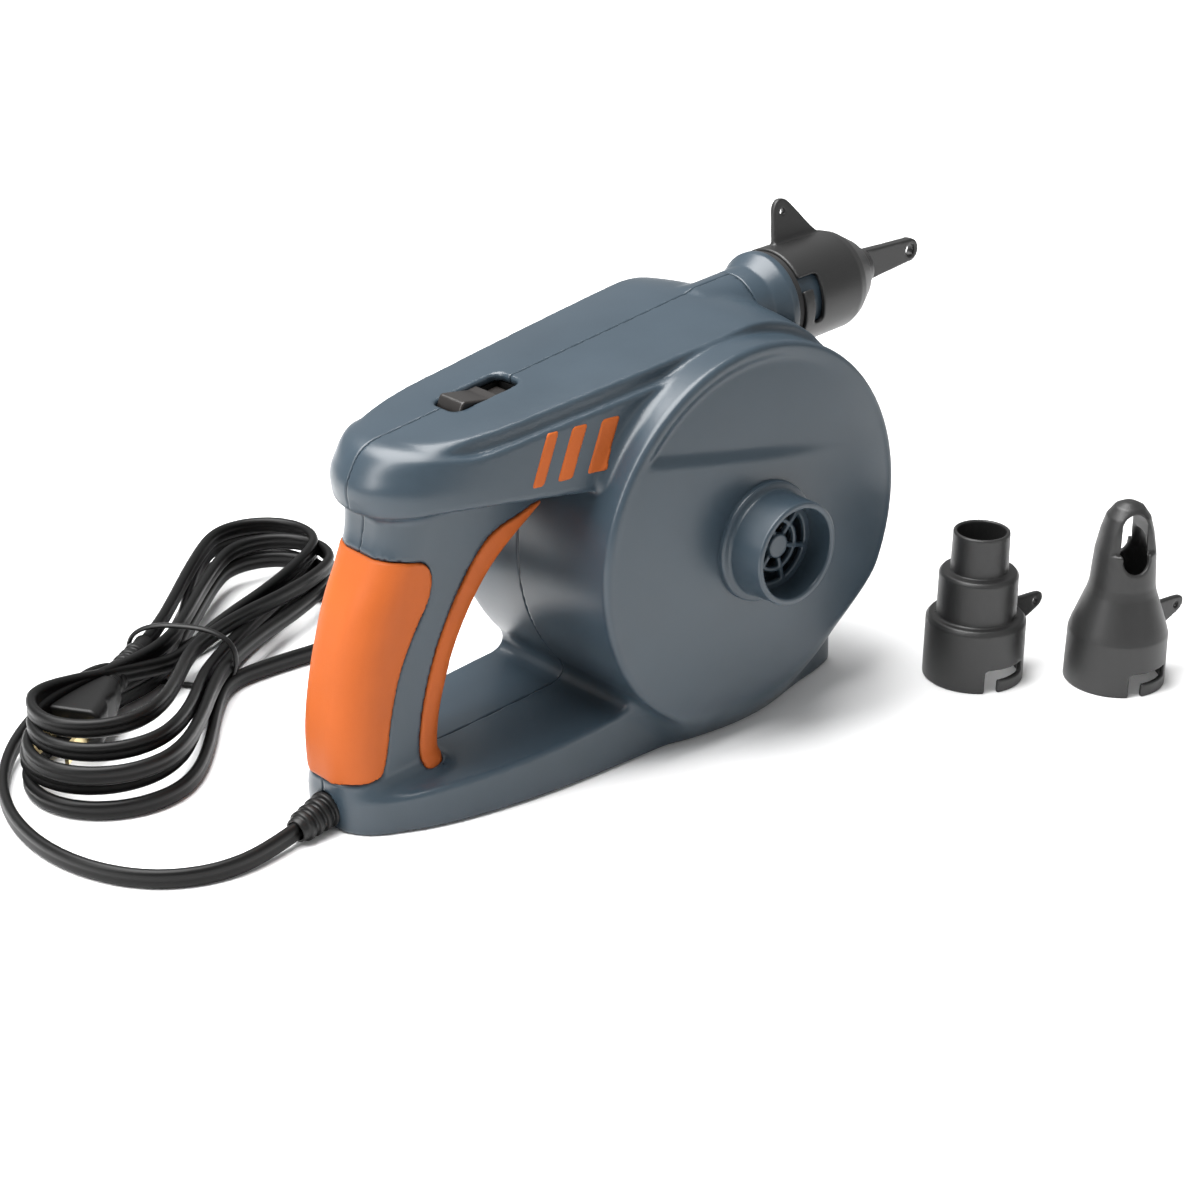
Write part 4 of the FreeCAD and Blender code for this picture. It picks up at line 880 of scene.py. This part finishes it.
def make_relief():
    """The ridged, tapered sleeve where the cord leaves the housing."""
    end = Vector(ROUTE[0])
    axis = (end - RELIEF_START).normalized()
    length = (end - RELIEF_START).length
    profile = [(3.3, 0), (6.4, 0), (6.4, 2.3), (5.3, 2.6), (5.3, 8)]
    for k in range(4):
        low, ridge, groove = 8 + 3.6 * k, 6.4 - 0.35 * k, 5.0 - 0.2 * k
        profile += [(ridge, low + 0.2), (ridge, low + 2.0)]
        profile += [(groove, low + 2.3), (groove, low + 3.4)]
    profile += [(4.1, length), (3.3, length)]
    side = Y_AXIS.cross(axis).normalized()
    return piece("cord_strain_relief", *ring_mesh(rounded(profile, 0.5), 64), BLACK, "housing",
                 "rubber", ["strain_relief"], placed(RELIEF_START, axis, side))


def plug_field(x, y, z):
    """The plug's grip, tapering from the blades to the sleeve, hollowed for the fingers."""
    t = np.clip((z - 17.0) / 28.0, 0, 1)
    wide, deep = 11.0 - 5.0 * t**1.6, 8.0 - 2.0 * t
    block = cut(np.abs(x) - wide, np.abs(y) - deep, 4.0)
    block = cut(block, np.maximum(17.2 - z, z - 45.0), 1.2)
    hollow = cut(np.hypot(y / 1.2, z - 31.0) - 5.0, 8.4 - np.abs(x), 0.0)
    return cut(block, -hollow, 1.0)


def make_plug():
    """The plug's grip and ribbed sleeve, with its blades, all on the cord's end."""
    axis = PLUG_BACK - PLUG_TIP
    length = axis.length
    axis.normalize()
    place = placed(PLUG_TIP, axis, Z_AXIS.cross(axis).normalized())
    lines = (span(-12, 12, 0.7), span(-9, 9, 0.7), span(16, 46, 0.7))
    grip = piece("plug_grip", *surface(plug_field, lines), BLACK, "housing", "cord",
                 ["plug_body"], place)
    profile = [(3.0, 44.6), (5.4, 44.6)]
    for k in range(6):
        low, ridge = 45.6 + 4.6 * k, 5.5 - 0.2 * k
        profile += [(ridge - 1.0, low), (ridge, low + 0.4)]
        profile += [(ridge - 0.1, low + 2.9), (ridge - 1.1, low + 3.3)]
    profile += [(3.9, length), (3.0, length)]
    sleeve = piece("plug_ribbed_sleeve", *ring_mesh(rounded(profile, 0.4), 48), BLACK, "housing",
                   "cord", ["plug_sleeve"], place)
    return [grip, sleeve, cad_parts["plug_blades"]]


def make_tie():
    """A thin flat tie round the middle of the hank."""
    around, section = 96, 10
    points = []
    for k in range(around):
        a = 2 * math.pi * k / around
        c, s = math.cos(a), math.sin(a)
        across = TIE_ACROSS + TIE_HALF_WIDE * math.copysign(abs(c) ** 0.8, c)
        high = TIE_Z + TIE_HALF_HIGH * math.copysign(abs(s) ** 0.8, s)
        for j in range(section):
            b = 2 * math.pi * j / section
            grow = TIE_THICK / 2 * math.cos(b)
            along = TIE_AT + TIE_WIDE / 2 * math.sin(b)
            points.append(in_hank(along, across + grow * c, high + grow * s))
    k, j = np.meshgrid(np.arange(around), np.arange(section), indexing="ij")
    k1, j1 = (k + 1) % around, (j + 1) % section
    faces = np.stack([k * section + j, k * section + j1, k1 * section + j1, k1 * section + j], -1)
    faces = faces.reshape(-1, 4)
    return piece("hank_tie", points, faces, BLACK, "housing", "cord", ["cord_tie"])


# ---------------------------------------------------------------- camera, floor and light
FLOOR_HALF = 6  # metres
WORLD_STRENGTH = 0.42
CAMERA_AZIMUTH, CAMERA_ELEVATION = math.radians(-41.5), math.radians(24.7)
CAMERA_SPOT, CAMERA_LENS, SENSOR = Vector((-553.55, -589.53, 407.12)), 73.1, 36.0


def make_camera():
    """The camera in front of the right face, towards the grip, looking down a little."""
    level = math.cos(CAMERA_ELEVATION)
    back = Vector((math.sin(CAMERA_AZIMUTH) * level, -math.cos(CAMERA_AZIMUTH) * level,
                   math.sin(CAMERA_ELEVATION)))
    data = bpy.data.cameras.new("camera")
    data.lens, data.sensor_width = CAMERA_LENS, SENSOR
    camera = bpy.data.objects.new("camera", data)
    camera.location = CAMERA_SPOT * MM
    camera.rotation_mode = "QUATERNION"
    camera.rotation_quaternion = back.to_track_quat("Z", "Y")
    bpy.context.scene.collection.objects.link(camera)
    bpy.context.scene.camera = camera


def area_light(name, spot, target, size, power):
    """A rectangular light in metres, facing its target."""
    data = bpy.data.lights.new(name, "AREA")
    data.shape = "RECTANGLE"
    data.size, data.size_y = size
    data.energy = power
    light = bpy.data.objects.new(name, data)
    light.location = spot
    light.rotation_mode = "QUATERNION"
    light.rotation_quaternion = (Vector(spot) - Vector(target)).to_track_quat("Z", "Y")
    bpy.context.scene.collection.objects.link(light)


def make_stage():
    """A plain pale floor, a white world and three soft lights."""
    mesh = bpy.data.meshes.new("floor")
    corners = [(-FLOOR_HALF, -FLOOR_HALF), (FLOOR_HALF, -FLOOR_HALF),
               (FLOOR_HALF, FLOOR_HALF), (-FLOOR_HALF, FLOOR_HALF)]
    mesh.from_pydata([(x, y, 0) for x, y in corners], [], [(0, 1, 2, 3)])
    floor = bpy.data.objects.new("floor", mesh)
    bpy.context.scene.collection.objects.link(floor)
    mesh.materials.append(material("floor_paint", (0.93, 0.93, 0.93), 0.75, mottle=0.0))
    world = bpy.data.worlds.new("studio")
    world.use_nodes = True
    background = world.node_tree.nodes["Background"]
    background.inputs["Color"].default_value = (1, 1, 1, 1)
    background.inputs["Strength"].default_value = WORLD_STRENGTH
    bpy.context.scene.world = world
    bpy.context.scene.view_settings.view_transform = "Standard"
    area_light("key", (-0.35, 0.35, 1.5), (0, 0, 0.08), (1.5, 1.2), 62.0)
    area_light("left_softbox", (-1.3, 0.25, 0.85), (-0.05, 0, 0.1), (0.3, 1.0), 11.0)
    area_light("front_fill", (0.3, -1.6, 0.7), (0, 0, 0.08), (1.2, 0.8), 2.0)


dress_nodes()
make_stage()
make_camera()
cord = make_cord()
relief = make_relief()
plug_pieces = make_plug()
tie = make_tie()
make_housing()
make_inlays()
make_ports()
make_switch()
make_nozzles()
